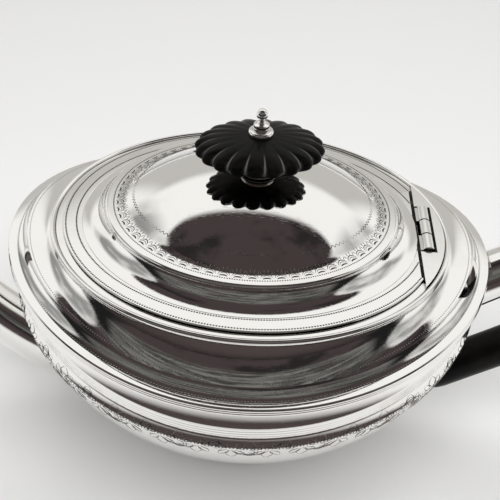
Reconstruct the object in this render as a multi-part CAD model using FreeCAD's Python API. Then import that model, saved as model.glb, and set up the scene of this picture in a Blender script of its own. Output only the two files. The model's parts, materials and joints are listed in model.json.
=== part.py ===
import FreeCAD, Part
import math
import os

os.makedirs("parts", exist_ok=True)
V = FreeCAD.Vector

# Silver teapot on an oval plan with a boat-shaped rim. Millimetres, +Z up, table at Z = 0.
# +X points to the handle, -X to the spout, and the pot's own axis is the Z axis.
# A radius is a ring's half-length along X; its half-width along Y is that radius times an oval.

# Plans, sheet and fits: the rim is the longest oval, and overhangs the body at its ends
RIM_OVAL = 0.85
BODY_OVAL = 0.887
MOUTH_OVAL = 0.86
SHEET = 0.8
SEAM = 0.05
RUN_CLEARANCE = 0.05
LID_CLEARANCE = 0.3

# Rim band: its outer radius, middle height, height, and how far it rises at the ends
RIM_R = 73.0
RIM_Z = 68.6
RIM_H = 2.9
RIM_WIDTH = 2.8
RIM_LAP = 1.6
RIM_SWEEP = 4.8
RIM_GROOVE = 0.25
RIM_EDGE = 0.5

# Lower body: mouldings set in from the rim's edge, the belly, and the flat bottom
NECK_INSET = 3.8
FLARE_INSET = 2.7
FLARE_H = 4.6
BAND_H = 3.6
BELLY_INSET = 1.6
LOWER_FLARE_H = 3.1
BELLY_POWER = 1.41
BOTTOM_R = 29.7
BOTTOM_Z = 10.0
BOTTOM_SHEET = 1.1
LEVEL_BELOW = 4.0

# Shoulder: an outer cove from the rim up to a step, and an inner cove from there to the mouth
OUTER_COVE_W = 6.1
OUTER_COVE_RISE = 4.6
INNER_COVE_W = 6.6
INNER_COVE_RISE = 5.1
COVE_HOLLOW = 0.09
STEP_SWEEP = 5.0

# Mouth bead and the ledge inside it that the lid sits on
BEAD_WIDTH = 1.7
BEAD_H = 1.7
LEDGE_W = 5.6
LEDGE_LIP_H = 4.0

# Foot: how far its edge, waist and top stand out from the flat bottom
FOOT_SPREAD = 4.1
FOOT_WAIST = 1.3
FOOT_TOP = 3.1
FOOT_WALL = 2.0
FOOT_EDGE_H = 1.8

# Lid: gap inside the bead, rise above the mouth, then flange, cove, step, and a dome with a flared foot
LID_GAP = 2.3
LID_RISE = 2.1
FLANGE_W = 5.8
LID_COVE_W = 6.6
LID_COVE_HOLLOW = 0.13
LID_STEP_H = 4.6
LID_STEP_ROUND = 1.3
LID_STEP_W = 3.3
DOME_H = 12.4
DOME_FLARE_R = 6.5
VENT_R = 1.0
VENT_X = -18.5
VENT_Y = 14.6
BEZEL_CLEARANCE = 0.6
BEZEL_H = 4.0

# Hinge, set in from the lid's edge at the handle end
HINGE_INSET = 3.1
HINGE_Y = 2.0
HINGE_DROP = 0.8
BARREL_R = 1.9
PIN_R = 0.8
KNUCKLE_L = 7.0
KNUCKLE_GAP = 0.15
HINGE_CHORD = 3.1
CHEEK_CHORD = 2.5
LEAF_L = 3.6
LEAF_T = 0.8

# Finial: collar, lobed button, washer, ball-headed screw and its nut, a little off the middle of the lid
FINIAL_X = 1.1
COLLAR_H = 4.15
COLLAR_R = 6.0
COLLAR_WAIST_R = 4.8
COLLAR_TOP_R = 5.4
COLLAR_EDGE_H = 0.8
BUTTON_R = 18.7
BUTTON_OVAL = 0.74
BUTTON_H = 7.4
BUTTON_LOBES = 20
BUTTON_FLUTE = 0.09
BUTTON_TURN = 9.0
WASHER_R = 3.6
WASHER_H = 1.5
WASHER_STEP_R = 2.35
WASHER_STEP_H = 0.9
SCREW_R = 1.2
SCREW_NECK_H = 3.9
BALL_R = 1.65
NUT_R = 3.0
NUT_H = 2.2
SCREW_TAIL = 1.2

# Spout, from inside the body to the lip: distance out from the rim's end, height, half-height, half-width
SPOUT_WALL = 1.0
SPOUT = [
    (-37.0, 27.0, 8.0, 8.4),
    (-26.0, 22.2, 9.6, 9.4),
    (-15.0, 19.8, 10.3, 9.6),
    (-4.0, 22.8, 9.9, 9.3),
    (9.8, 33.6, 8.9, 8.6),
    (21.0, 48.0, 7.6, 7.4),
    (29.8, 63.0, 6.6, 6.6),
    (38.6, 76.0, 6.0, 6.2),
    (49.4, 85.0, 5.6, 6.4),
]
SPOUT_LIP_Z = 86.6
STRAINER_HOLE_R = 1.5
STRAINER_PITCH = 4.2
STRAINER_Z = 21.6

# Handle: sockets on the body and the ebony loop between them, also measured out from the rim's end
SOCKET_BORE_R = 5.6
SOCKET_BORE_L = 8.0
UPPER_SOCKET = [
    (-8.6, 57.9, 8.3, 8.3),
    (2.5, 65.4, 7.8, 7.8),
    (13.6, 72.9, 7.4, 7.4),
]
LOWER_SOCKET = [
    (-38.0, 27.4, 7.0, 7.0),
    (-27.0, 22.2, 8.2, 8.0),
    (-18.0, 20.0, 7.9, 7.8),
    (-10.0, 21.4, 7.4, 7.4),
]
HANDLE_R = 6.7
HANDLE_WIDTH = 0.92
HANDLE_LEAD = 4.0
HANDLE_LOOP = [
    (24.4, 79.8),
    (34.6, 83.6),
    (43.4, 79.8),
    (46.8, 70.2),
    (42.8, 59.2),
    (33.6, 50.6),
    (23.5, 43.2),
    (13.2, 35.7),
    (4.6, 29.6),
    (-2.6, 24.4),
]
RIVET_R = 1.0

RING_POINTS = 32
CURVE_STEPS = 6


def oval_edge(radius, z, sweep, oval):
    """Closed oval ring that rises by sweep at the ends and dips by it at the sides."""
    points = []
    for step in range(RING_POINTS):
        turn = 2 * math.pi * step / RING_POINTS
        points.append(V(
            radius * math.cos(turn),
            oval * radius * math.sin(turn),
            z + sweep * math.cos(2 * turn)))
    return closed_edge(points)


def closed_edge(points):
    """Smooth closed edge through points."""
    curve = Part.BSplineCurve()
    curve.interpolate(Points=points, PeriodicFlag=True)
    return curve.toShape()


def solid_of(faces):
    """Solid bounded by faces that share their edges."""
    shell = Part.makeShell(faces)
    shell.sewShape()
    solid = Part.makeSolid(Part.Shell(shell.Faces))
    if solid.Volume < 0:
        solid.reverse()
    return solid


def bands(edges):
    """Ruled faces from each closed edge to the next."""
    return [Part.makeRuledSurface(low, high) for low, high in zip(edges, edges[1:])]


def ring_solid(outline):
    """Closed ring whose section is a loop of (radius, z, sweep, oval) corners."""
    edges = [oval_edge(*corner) for corner in outline]
    return solid_of(bands(edges + edges[:1]))


def filled_solid(edges):
    """Solid through a stack of closed edges, the first and the last of them flat."""
    caps = [Part.Face(Part.Wire(edges[0])), Part.Face(Part.Wire(edges[-1]))]
    return solid_of(bands(edges) + caps)


def sheet_ring(outline, shift_r, shift_z):
    """Sheet whose outer side is outline and whose inner side is the same line, shifted.

    Its first edge is level.
    """
    inner = [(r + shift_r, z + shift_z, sweep, oval) for r, z, sweep, oval in outline]
    inner[0] = (inner[0][0],) + outline[0][1:]
    return ring_solid(outline + inner[::-1])


def quarter(start, end):
    """Cove from start, where it is upright, to end, where it is level."""
    points = []
    for step in range(CURVE_STEPS + 1):
        turn = 0.5 * math.pi * step / CURVE_STEPS
        across = 1 - math.cos(turn)
        down = math.sin(turn)
        points.append((
            start[0] + (end[0] - start[0]) * across,
            start[1] + (end[1] - start[1]) * down,
            start[2] + (end[2] - start[2]) * down,
            start[3] + (end[3] - start[3]) * down))
    return points


def cove(start, end, hollow):
    """Shallow cove between two ring corners, hollow by a share of the way between them."""
    points = []
    for step in range(CURVE_STEPS + 1):
        share = step / CURVE_STEPS
        depth = 4 * hollow * share * (1 - share)
        corner = [a + (b - a) * share for a, b in zip(start, end)]
        corner[0] += depth * (end[1] - start[1])
        corner[1] -= depth * (end[0] - start[0])
        points.append(tuple(corner))
    return points


def arc_points(start, middle, end):
    """Points on the arc from start through middle to end, each a radius and a height."""
    arc = Part.Arc(*(V(radius, 0, z) for radius, z in (start, middle, end))).toShape()
    return [(point.x, point.z) for point in arc.discretize(2 * CURVE_STEPS + 1)]


def turned(path, oval):
    """Solid turned about Z from an outline, then narrowed along Y.

    A pair in path is a straight line to (r, z); four numbers are an arc through the first pair.
    """
    edges = []
    last = V(path[0][0], 0, path[0][1])
    for corner in path[1:] + path[:1]:
        end = V(corner[-2], 0, corner[-1])
        if len(corner) == 4:
            edges.append(Part.Arc(last, V(corner[0], 0, corner[1]), end).toShape())
        elif end.distanceToPoint(last) > 0:
            edges.append(Part.makeLine(last, end))
        last = end
    solid = Part.Face(Part.Wire(edges)).revolve(V(0, 0, 0), V(0, 0, 1), 360)
    if oval == 1:
        return solid
    narrow = FreeCAD.Matrix()
    narrow.scale(V(1, oval, 1))
    return solid.transformGeometry(narrow)


def block(x, y, z):
    """Box between the two ends given for each axis."""
    corner = V(x[0], y[0], z[0])
    return Part.makeBox(x[1] - x[0], y[1] - y[0], z[1] - z[0], corner)


def rod(radius, start, end):
    """Round rod between two points."""
    return Part.makeCylinder(radius, (end - start).Length, start, end - start)


def section_wire(centre, along, half_height, half_width):
    """Oval section square to a path in the XZ plane."""
    up = V(-along.z, 0, along.x)
    points = []
    for step in range(RING_POINTS // 2):
        turn = 4 * math.pi * step / RING_POINTS
        points.append(
            centre + up * (half_height * math.cos(turn)) + V(0, half_width * math.sin(turn), 0))
    return Part.Wire(closed_edge(points))


def path_through(points):
    """Smooth curve through (x, z) points, with its parameters there."""
    curve = Part.BSplineCurve()
    curve.interpolate([V(x, 0, z) for x, z in points])
    return curve, [curve.parameter(V(x, 0, z)) for x, z in points]


def swept(stations, shrink=0.0):
    """Loft through oval sections, each square to the line through the stations."""
    curve, places = path_through([station[:2] for station in stations])
    wires = []
    for place, (x, z, half_height, half_width) in zip(places, stations):
        along = curve.tangent(place)[0]
        wires.append(section_wire(V(x, 0, z), along, half_height - shrink, half_width - shrink))
    return Part.makeLoft(wires, True, False)


# Heights that follow from the driving sizes
rim_top = RIM_Z + RIM_H / 2
rim_bottom = RIM_Z - RIM_H / 2
belly_top = rim_bottom - FLARE_H - BAND_H - LOWER_FLARE_H
step_z = RIM_Z + OUTER_COVE_RISE
mouth_z = step_z + INNER_COVE_RISE
lid_z = mouth_z + LID_RISE

# Radii that follow, from the rim's edge inwards
neck_r = RIM_R - NECK_INSET
flare_r = RIM_R - FLARE_INSET
belly_r = RIM_R - BELLY_INSET
step_r = RIM_R - OUTER_COVE_W
mouth_r = step_r - INNER_COVE_W
bead_inner = mouth_r - BEAD_WIDTH
ledge_inner = bead_inner - LEDGE_W
bezel_r = ledge_inner - BEZEL_CLEARANCE
lid_r = bead_inner - LID_GAP
lid_cove_r = lid_r - FLANGE_W
lid_step_r = lid_cove_r - LID_COVE_W
dome_r = lid_step_r - LID_STEP_W
hinge_x = lid_r - HINGE_INSET

# Places along X of what stands out from the rim's two ends
spout = [(-RIM_R - station[0],) + station[1:] for station in SPOUT]
upper_socket = [(RIM_R + station[0],) + station[1:] for station in UPPER_SOCKET]
lower_socket = [(RIM_R + station[0],) + station[1:] for station in LOWER_SOCKET]


def sweep_at(z):
    """Rise of the lower body's rings: that of the rim down to the belly, then fading to none."""
    share = (z - BOTTOM_Z - LEVEL_BELOW) / (belly_top - BOTTOM_Z - LEVEL_BELOW)
    return RIM_SWEEP * min(max(share, 0.0), 1.0)


def belly_point(turn):
    """Radius and height on the belly, from its widest ring at 0 to the bottom at a quarter turn."""
    reach = math.cos(turn) ** BELLY_POWER if turn < math.pi / 2 else 0.0
    drop = math.sin(turn) ** BELLY_POWER
    radius = BOTTOM_R + (belly_r - BOTTOM_R) * reach
    return radius, belly_top - (belly_top - BOTTOM_Z) * drop


def belly_height(radius):
    """Height of the belly's outer side at a radius."""
    reach = (radius - BOTTOM_R) / (belly_r - BOTTOM_R)
    turn = math.acos(reach ** (1 / BELLY_POWER))
    return belly_point(turn)[1]


def body_outline(gap):
    """Outer side of the lower body, from the rim band down, set out by gap."""
    neck = rim_bottom - SEAM
    flare = rim_bottom - FLARE_H
    band = flare - BAND_H
    corners = quarter((neck_r, neck, RIM_SWEEP, BODY_OVAL), (flare_r, flare, RIM_SWEEP, BODY_OVAL))
    corners += quarter(
        (flare_r, band, RIM_SWEEP, BODY_OVAL), (belly_r, belly_top, RIM_SWEEP, BODY_OVAL))
    for step in range(1, 2 * CURVE_STEPS + 1):
        radius, z = belly_point(0.5 * math.pi * step / (2 * CURVE_STEPS))
        corners.append((radius, z, sweep_at(z), BODY_OVAL))
    return [(radius + gap, z, sweep, oval) for radius, z, sweep, oval in corners]


# Solid of the whole pot's outside, used to cut what is soldered on to it
outside = body_outline(SEAM)
outside_edges = [oval_edge(BOTTOM_R, 0, 0, BODY_OVAL)]
outside_edges += [oval_edge(*corner) for corner in reversed(outside)]
outside_edges += [
    oval_edge(RIM_R + SEAM, rim_bottom - SEAM, RIM_SWEEP, RIM_OVAL),
    oval_edge(RIM_R + SEAM, rim_top + SEAM, RIM_SWEEP, RIM_OVAL),
    oval_edge(mouth_r, lid_z, 0, MOUTH_OVAL)]
pot_outside = filled_solid(outside_edges)

parts = {}

# Lower body, with the strainer holes behind the spout
lower_body = sheet_ring(body_outline(0), -SHEET, SHEET)
for row in (-1, 0, 1):
    for column in (-1, 0, 1):
        hole_y = column * STRAINER_PITCH
        hole_z = STRAINER_Z + row * STRAINER_PITCH
        start = V(-belly_r, hole_y, hole_z)
        lower_body = lower_body.cut(rod(STRAINER_HOLE_R, start, V(0, hole_y, hole_z)))
parts["lower_body"] = lower_body

# Bottom plate let into the lower body
plate_r = BOTTOM_R - SHEET - SEAM
parts["bottom_plate"] = turned([
    (0, BOTTOM_Z),
    (plate_r, BOTTOM_Z),
    (plate_r, BOTTOM_Z + BOTTOM_SHEET),
    (0, BOTTOM_Z + BOTTOM_SHEET)], BODY_OVAL)

# Spreading foot under the belly, flat where it stands
foot_r = BOTTOM_R + FOOT_SPREAD
waist_r = BOTTOM_R + FOOT_WAIST
foot_top_r = BOTTOM_R + FOOT_TOP
foot_top = belly_height(waist_r) - SEAM
foot_top_outer = belly_height(foot_top_r) - SEAM
foot_middle = 0.5 * (FOOT_EDGE_H + foot_top)
foot_line = [(foot_r, 0)]
foot_line += arc_points(
    (foot_r, FOOT_EDGE_H), (waist_r, foot_middle), (foot_top_r, foot_top_outer - SEAM))
foot_line += arc_points(
    (waist_r, foot_top - SEAM), (waist_r - FOOT_WALL, foot_middle), (foot_r - FOOT_WALL, 0))
foot_edges = [oval_edge(radius, z, 0, BODY_OVAL) for radius, z in foot_line]
standing_face = Part.Face(Part.Wire(foot_edges[0])).cut(Part.Face(Part.Wire(foot_edges[-1])))
parts["foot"] = solid_of(bands(foot_edges) + standing_face.Faces)

# Rim band: a flat-topped strip with a shallow groove round its edge, reaching in over the body's top
rim_inner = RIM_R - RIM_WIDTH
parts["rim_band"] = ring_solid([
    (neck_r - RIM_LAP, rim_bottom, RIM_SWEEP, BODY_OVAL),
    (RIM_R - RIM_EDGE, rim_bottom, RIM_SWEEP, RIM_OVAL),
    (RIM_R, rim_bottom + RIM_EDGE, RIM_SWEEP, RIM_OVAL),
    (RIM_R - RIM_GROOVE, RIM_Z, RIM_SWEEP, RIM_OVAL),
    (RIM_R, rim_top - RIM_EDGE, RIM_SWEEP, RIM_OVAL),
    (RIM_R - RIM_EDGE, rim_top, RIM_SWEEP, RIM_OVAL),
    (rim_inner, rim_top, RIM_SWEEP, RIM_OVAL)])

# Shoulder of two coves from the mouth to the rim band
mouth_edge = (mouth_r, mouth_z, 0, MOUTH_OVAL)
step_edge = (step_r, step_z, STEP_SWEEP, RIM_OVAL)
shoulder_end = (rim_inner - SEAM, rim_top, RIM_SWEEP, RIM_OVAL)
shoulder_line = cove(mouth_edge, step_edge, COVE_HOLLOW)
shoulder_line += cove(step_edge, shoulder_end, COVE_HOLLOW)[1:]
parts["shoulder"] = sheet_ring(shoulder_line, -SHEET, -SHEET)

# Bead round the mouth, on the shoulder's upper edge
bead_bottom = mouth_z + SEAM
bead_top = bead_bottom + BEAD_H
bead_side = bead_bottom + BEAD_H / 2
parts["mouth_bead"] = turned([
    (bead_inner, bead_bottom),
    (mouth_r, bead_bottom),
    (mouth_r, bead_side),
    (mouth_r - BEAD_WIDTH / 2, bead_top, bead_inner, bead_side)], MOUTH_OVAL)

# Hinge line, lid heights and the place of the ledge under the lid
lid_under = lid_z - SHEET
hinge_z = lid_z - HINGE_DROP
knuckle_end = 1.5 * KNUCKLE_L
pocket_y = (HINGE_Y - knuckle_end - LID_CLEARANCE, HINGE_Y + knuckle_end + LID_CLEARANCE)
pocket_x = hinge_x + BARREL_R + LID_CLEARANCE
ledge_top = lid_under - LID_CLEARANCE
ledge_bottom = ledge_top - SHEET

# Ledge soldered inside the mouth, cut away for the hinge
ledge = turned([
    (ledge_inner, ledge_bottom - LEDGE_LIP_H),
    (ledge_inner + SHEET, ledge_bottom - LEDGE_LIP_H),
    (ledge_inner + SHEET, ledge_bottom),
    (bead_inner - SEAM, ledge_bottom),
    (bead_inner - SEAM, ledge_top),
    (ledge_inner, ledge_top)], MOUTH_OVAL)
pocket = block((0, mouth_r), pocket_y, (ledge_bottom - LEDGE_LIP_H - SEAM, lid_z))
parts["lid_ledge"] = ledge.cut(pocket)


def hinge_rod(radius, start, end):
    """Rod on the hinge line between two distances from the hinge's middle."""
    return rod(radius, V(hinge_x, HINGE_Y + start, hinge_z), V(hinge_x, HINGE_Y + end, hinge_z))


# Body half of the hinge: a plate that fills the end of the mouth, with the middle knuckle
middle = KNUCKLE_L / 2 - KNUCKLE_GAP
plate_bottom = ledge_top + SEAM
plate_top = lid_z - SEAM
hinge_plate = turned([
    (0, plate_bottom),
    (bead_inner - SEAM, plate_bottom),
    (bead_inner - SEAM, plate_top),
    (0, plate_top)], MOUTH_OVAL)
hinge_plate = hinge_plate.common(block(
    (hinge_x - CHEEK_CHORD, mouth_r), (-mouth_r, mouth_r), (plate_bottom, plate_top)))
hinge_plate = hinge_plate.cut(block(
    (0, pocket_x), pocket_y, (plate_bottom, plate_top)))
hinge_plate = hinge_plate.fuse(block(
    (hinge_x, pocket_x + SHEET), (HINGE_Y - middle, HINGE_Y + middle), (plate_bottom, plate_top)))
hinge_plate = hinge_plate.fuse(hinge_rod(BARREL_R, -middle, middle))
hinge_plate = hinge_plate.cut(hinge_rod(PIN_R, -KNUCKLE_L, KNUCKLE_L))
parts["hinge_plate"] = hinge_plate.removeSplitter()

# Hinge pin, tight in the middle knuckle
parts["hinge_pin"] = hinge_rod(PIN_R, -knuckle_end, knuckle_end)

# Lid in one raised sheet, with a straight edge at the hinge and a vent hole
step_top = lid_z + LID_STEP_H + LID_STEP_ROUND
dome_top = step_top + DOME_H
round_bend = math.sqrt(0.5)
round_r = lid_step_r - LID_STEP_ROUND * (1 - round_bend)
round_z = lid_z + LID_STEP_H + LID_STEP_ROUND * round_bend
cove_r = 0.5 * (lid_cove_r + lid_step_r) - LID_COVE_HOLLOW * LID_STEP_H
cove_z = lid_z + 0.5 * LID_STEP_H - LID_COVE_HOLLOW * LID_COVE_W

# The dome is round to where it meets the flare, which is hollow and ends level on the step
both_r = (dome_r ** 2 + DOME_H ** 2) / (2 * DOME_H)
dome_sphere = both_r - DOME_FLARE_R
dome_tilt = math.asin(dome_r / both_r)


def dome_point(tilt):
    """Point of the dome's outside where it leans by tilt."""
    return dome_sphere * math.sin(tilt), dome_top - dome_sphere * (1 - math.cos(tilt))


def flare_point(tilt):
    """Point of the flare's outside where it leans by tilt."""
    return dome_r - DOME_FLARE_R * math.sin(tilt), step_top + DOME_FLARE_R * (1 - math.cos(tilt))


def below(point):
    """Point of the inner side under one of the outside."""
    return point[0], point[1] - SHEET


dome_half = dome_point(dome_tilt / 2)
dome_end = dome_point(dome_tilt)
flare_half = flare_point(dome_tilt / 2)
lid = turned([
    (0, dome_top - SHEET),
    below(dome_half) + below(dome_end),
    below(flare_half) + (dome_r, step_top - SHEET),
    (lid_step_r - LID_STEP_ROUND - SHEET, step_top - SHEET),
    (lid_step_r - SHEET, lid_z + LID_STEP_H - SHEET),
    (cove_r - SHEET, cove_z - SHEET, lid_cove_r - SHEET, lid_under),
    (lid_r, lid_under),
    (lid_r, lid_z),
    (lid_cove_r, lid_z),
    (cove_r, cove_z, lid_step_r, lid_z + LID_STEP_H),
    (round_r, round_z, lid_step_r - LID_STEP_ROUND, step_top),
    (dome_r, step_top),
    flare_half + dome_end,
    dome_half + (0, dome_top)], MOUTH_OVAL)
lid = lid.cut(block(
    (hinge_x - HINGE_CHORD, mouth_r), (-mouth_r, mouth_r), (lid_under - SHEET, lid_z + SHEET)))
lid = lid.cut(rod(VENT_R, V(VENT_X, VENT_Y, lid_z), V(VENT_X, VENT_Y, dome_top)))
lid = lid.cut(rod(SCREW_R + SEAM, V(FINIAL_X, 0, lid_z), V(FINIAL_X, 0, dome_top + SHEET)))
parts["lid"] = lid

# Bezel under the lid that drops inside the ledge, open at the hinge
bezel = turned([
    (bezel_r - SHEET, lid_under - SEAM - BEZEL_H),
    (bezel_r, lid_under - SEAM - BEZEL_H),
    (bezel_r, lid_under - SEAM),
    (bezel_r - SHEET, lid_under - SEAM)], MOUTH_OVAL)
bezel_end = hinge_x - HINGE_CHORD - LEAF_L - 2 * SHEET
parts["lid_bezel"] = bezel.cut(block(
    (bezel_end, mouth_r), (-mouth_r, mouth_r), (lid_under - 2 * BEZEL_H, lid_z)))

# Lid half of the hinge: a leaf under the lid's straight edge, with the two outer knuckles
leaf_top = lid_under - SEAM
leaf_x = hinge_x - HINGE_CHORD
leaf_bottom = leaf_top - LEAF_T
lid_leaf = block(
    (leaf_x - LEAF_L, leaf_x + SHEET),
    (HINGE_Y - knuckle_end, HINGE_Y + knuckle_end),
    (leaf_bottom, leaf_top))
for side in (-1, 1):
    ends = sorted((side * (KNUCKLE_L / 2 + KNUCKLE_GAP), side * knuckle_end))
    lid_leaf = lid_leaf.fuse(block(
        (leaf_x + SEAM, hinge_x), (HINGE_Y + ends[0], HINGE_Y + ends[1]), (leaf_bottom, lid_z - SEAM)))
    lid_leaf = lid_leaf.fuse(hinge_rod(BARREL_R, *ends))
lid_leaf = lid_leaf.cut(hinge_rod(BARREL_R + LID_CLEARANCE, -KNUCKLE_L / 2, KNUCKLE_L / 2))
lid_leaf = lid_leaf.cut(hinge_rod(PIN_R + RUN_CLEARANCE, -2 * KNUCKLE_L, 2 * KNUCKLE_L))
parts["lid_leaf"] = lid_leaf.removeSplitter()

# Turned collar between the dome and the button
collar_drop = (COLLAR_R - FINIAL_X) ** 2 / (2 * dome_sphere)
collar_bottom = dome_top + SEAM
collar_top = dome_top + COLLAR_H
parts["finial_collar"] = turned([
    (SCREW_R + SEAM, collar_bottom),
    (COLLAR_R, collar_bottom - collar_drop + 2 * SEAM),
    (COLLAR_R, collar_bottom + COLLAR_EDGE_H),
    (COLLAR_WAIST_R, 0.5 * (collar_bottom + collar_top), COLLAR_TOP_R, collar_top - COLLAR_EDGE_H),
    (COLLAR_TOP_R, collar_top),
    (SCREW_R + SEAM, collar_top)], 1)

# Ebony button: rings with rounded lobes, drawn in towards the top and the underside
button_bottom = collar_top + SEAM
button_top = button_bottom + BUTTON_H


def lobed_edge(radius, z, flute):
    """Ring of rounded lobes with a notch between each two."""
    points = []
    count = 6 * BUTTON_LOBES
    for step in range(count):
        turn = 2 * math.pi * step / count
        notch = 1 - abs(math.sin(BUTTON_LOBES * turn / 2))
        reach = radius * (1 - flute * notch)
        points.append(V(reach * math.cos(turn), BUTTON_OVAL * reach * math.sin(turn), z))
    return closed_edge(points)


button_section = [
    (0.42, 0.0, 0.0),
    (0.78, 0.03, 0.5),
    (0.95, 0.17, 1.0),
    (1.0, 0.36, 1.0),
    (0.97, 0.55, 1.0),
    (0.85, 0.74, 0.9),
    (0.6, 0.9, 0.7),
    (0.25, 1.0, 0.4)]
button = filled_solid([
    lobed_edge(BUTTON_R * reach, button_bottom + BUTTON_H * rise, BUTTON_FLUTE * flute)
    for reach, rise, flute in button_section])
button.rotate(V(0, 0, 0), V(0, 0, 1), BUTTON_TURN)
parts["finial_button"] = button.cut(rod(
    SCREW_R + SEAM, V(0, 0, collar_top), V(0, 0, button_top + BUTTON_H)))

# Stepped washer on the button
washer_bottom = button_top + SEAM
washer_step = washer_bottom + WASHER_H
washer_top = washer_step + WASHER_STEP_H
parts["finial_washer"] = turned([
    (SCREW_R + SEAM, washer_bottom),
    (WASHER_R, washer_bottom),
    (WASHER_R, washer_bottom + WASHER_H / 2),
    (WASHER_STEP_R, washer_step),
    (WASHER_STEP_R, washer_top),
    (SCREW_R + SEAM, washer_top)], 1)

# Ball-headed screw through button, collar and lid
nut_top = dome_top - SHEET - SEAM
nut_bottom = nut_top - NUT_H
screw_head = washer_top + SEAM
ball_z = screw_head + SCREW_NECK_H
head_r = WASHER_STEP_R - 2 * SEAM
screw = rod(SCREW_R, V(0, 0, nut_bottom - SCREW_TAIL), V(0, 0, ball_z))
screw = screw.fuse(rod(head_r, V(0, 0, screw_head), V(0, 0, screw_head + SCREW_NECK_H / 4)))
parts["finial_screw"] = screw.fuse(Part.makeSphere(BALL_R, V(0, 0, ball_z))).removeSplitter()

# Nut under the dome
nut_drop = (NUT_R + FINIAL_X) ** 2 / (2 * dome_sphere)
nut_edge = Part.makePolygon([
    V(NUT_R * math.cos(math.pi * k / 3), NUT_R * math.sin(math.pi * k / 3), nut_bottom)
    for k in range(7)])
nut = Part.Face(nut_edge).extrude(V(0, 0, NUT_H - nut_drop))
parts["finial_nut"] = nut.cut(rod(SCREW_R + SEAM, V(0, 0, nut_bottom - NUT_H), V(0, 0, dome_top)))

for name in ("finial_collar", "finial_button", "finial_washer", "finial_screw", "finial_nut"):
    parts[name].translate(V(FINIAL_X, 0, 0))

# Spout, hollow from the strainer to the lip
tube = swept(spout).cut(swept(spout, SPOUT_WALL))
lip = block((2 * spout[-1][0], 0), (-belly_r, belly_r), (SPOUT_LIP_Z, 2 * SPOUT_LIP_Z))
parts["spout"] = tube.cut(pot_outside).cut(lip)


def mouth_of(socket):
    """Middle of a socket's mouth, and the direction it opens in."""
    curve, places = path_through([station[:2] for station in socket])
    return V(socket[-1][0], 0, socket[-1][1]), curve.tangent(places[-1])[0]


def rivet_of(socket, half_length):
    """Rivet across a socket, half-way along its bore."""
    mouth, out = mouth_of(socket)
    middle_point = mouth - out * (SOCKET_BORE_L / 2)
    return rod(RIVET_R, middle_point - V(0, half_length, 0), middle_point + V(0, half_length, 0))


def socket_solid(socket):
    """Silver socket, cut to the body at its root and bored for the handle's tenon."""
    mouth, out = mouth_of(socket)
    solid = swept(socket).cut(pot_outside)
    solid = solid.cut(rod(SOCKET_BORE_R, mouth - out * SOCKET_BORE_L, mouth + out))
    return solid.cut(rivet_of(socket, 2 * SOCKET_BORE_R))


def tenon_of(socket):
    """Peg of the handle that fills a socket's bore."""
    mouth, out = mouth_of(socket)
    return rod(SOCKET_BORE_R - SEAM, mouth - out * (SOCKET_BORE_L - SEAM), mouth + out * (2 * SEAM))


parts["upper_socket"] = socket_solid(upper_socket)
parts["lower_socket"] = socket_solid(lower_socket)

# Ebony handle, pegged into both sockets
upper_mouth, upper_out = mouth_of(upper_socket)
lower_mouth, lower_out = mouth_of(lower_socket)
handle_line = [upper_mouth - upper_out * SHEET, upper_mouth + upper_out * HANDLE_LEAD]
handle_line += [V(RIM_R + out, 0, z) for out, z in HANDLE_LOOP]
handle_line += [lower_mouth + lower_out * HANDLE_LEAD, lower_mouth - lower_out * SHEET]
handle = swept([(point.x, point.z, HANDLE_R, HANDLE_R * HANDLE_WIDTH) for point in handle_line])
for socket in (upper_socket, lower_socket):
    mouth, out = mouth_of(socket)
    handle = handle.cut(rod(2 * HANDLE_R, mouth - out * SOCKET_BORE_L, mouth + out * SEAM))
    handle = handle.fuse(tenon_of(socket))
    handle = handle.cut(rivet_of(socket, 2 * SOCKET_BORE_R))
parts["handle"] = handle.removeSplitter()

# Rivets, filed flush with the sockets
for name, socket in (("upper_rivet", upper_socket), ("lower_rivet", lower_socket)):
    parts[name] = rivet_of(socket, socket[-1][3])

for name, shape in parts.items():
    shape.exportStep(f"parts/{name}.step")
    print(name, len(shape.Solids), round(shape.Volume, 1), shape.isValid())
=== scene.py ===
import bpy
import json
import math
import numpy as np
from mathutils import Matrix, Vector


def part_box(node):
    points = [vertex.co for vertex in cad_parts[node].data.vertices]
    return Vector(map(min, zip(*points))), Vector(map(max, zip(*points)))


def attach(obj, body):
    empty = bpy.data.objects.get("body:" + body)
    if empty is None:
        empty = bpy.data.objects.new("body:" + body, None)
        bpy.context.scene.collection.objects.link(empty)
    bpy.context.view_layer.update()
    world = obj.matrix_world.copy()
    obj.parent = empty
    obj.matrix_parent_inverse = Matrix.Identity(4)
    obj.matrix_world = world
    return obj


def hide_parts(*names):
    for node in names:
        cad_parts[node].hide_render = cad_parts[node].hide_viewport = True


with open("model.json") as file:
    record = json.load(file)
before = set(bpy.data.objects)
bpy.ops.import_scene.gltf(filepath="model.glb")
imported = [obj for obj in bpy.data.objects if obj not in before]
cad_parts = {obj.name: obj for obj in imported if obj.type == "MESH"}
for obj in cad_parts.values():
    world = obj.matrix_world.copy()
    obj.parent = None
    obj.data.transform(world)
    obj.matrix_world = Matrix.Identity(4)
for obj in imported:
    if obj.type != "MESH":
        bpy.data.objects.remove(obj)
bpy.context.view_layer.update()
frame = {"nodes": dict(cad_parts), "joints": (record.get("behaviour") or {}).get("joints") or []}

# Foot
# A low spreading ring of cast silver that carries the pot. It is turned, worked to the
# oval of the body and soldered under the belly. An outline is in millimetres, each corner
# a radius along X, a height, the rise of that ring at its two ends, and its oval.
MM = 0.001
TURN_STEPS = 192
HARD_EDGE = math.radians(35)
EDGE = 0.25
BODY_OVAL = 0.887
FOOT_R = 33.8
FOOT_WALL = 2.0
FOOT_EDGE_H = 1.8
FOOT_WAIST_R = 31.0
FOOT_TOP_R = 32.8
FOOT_TOP_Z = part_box("foot")[1].z / MM
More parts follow.
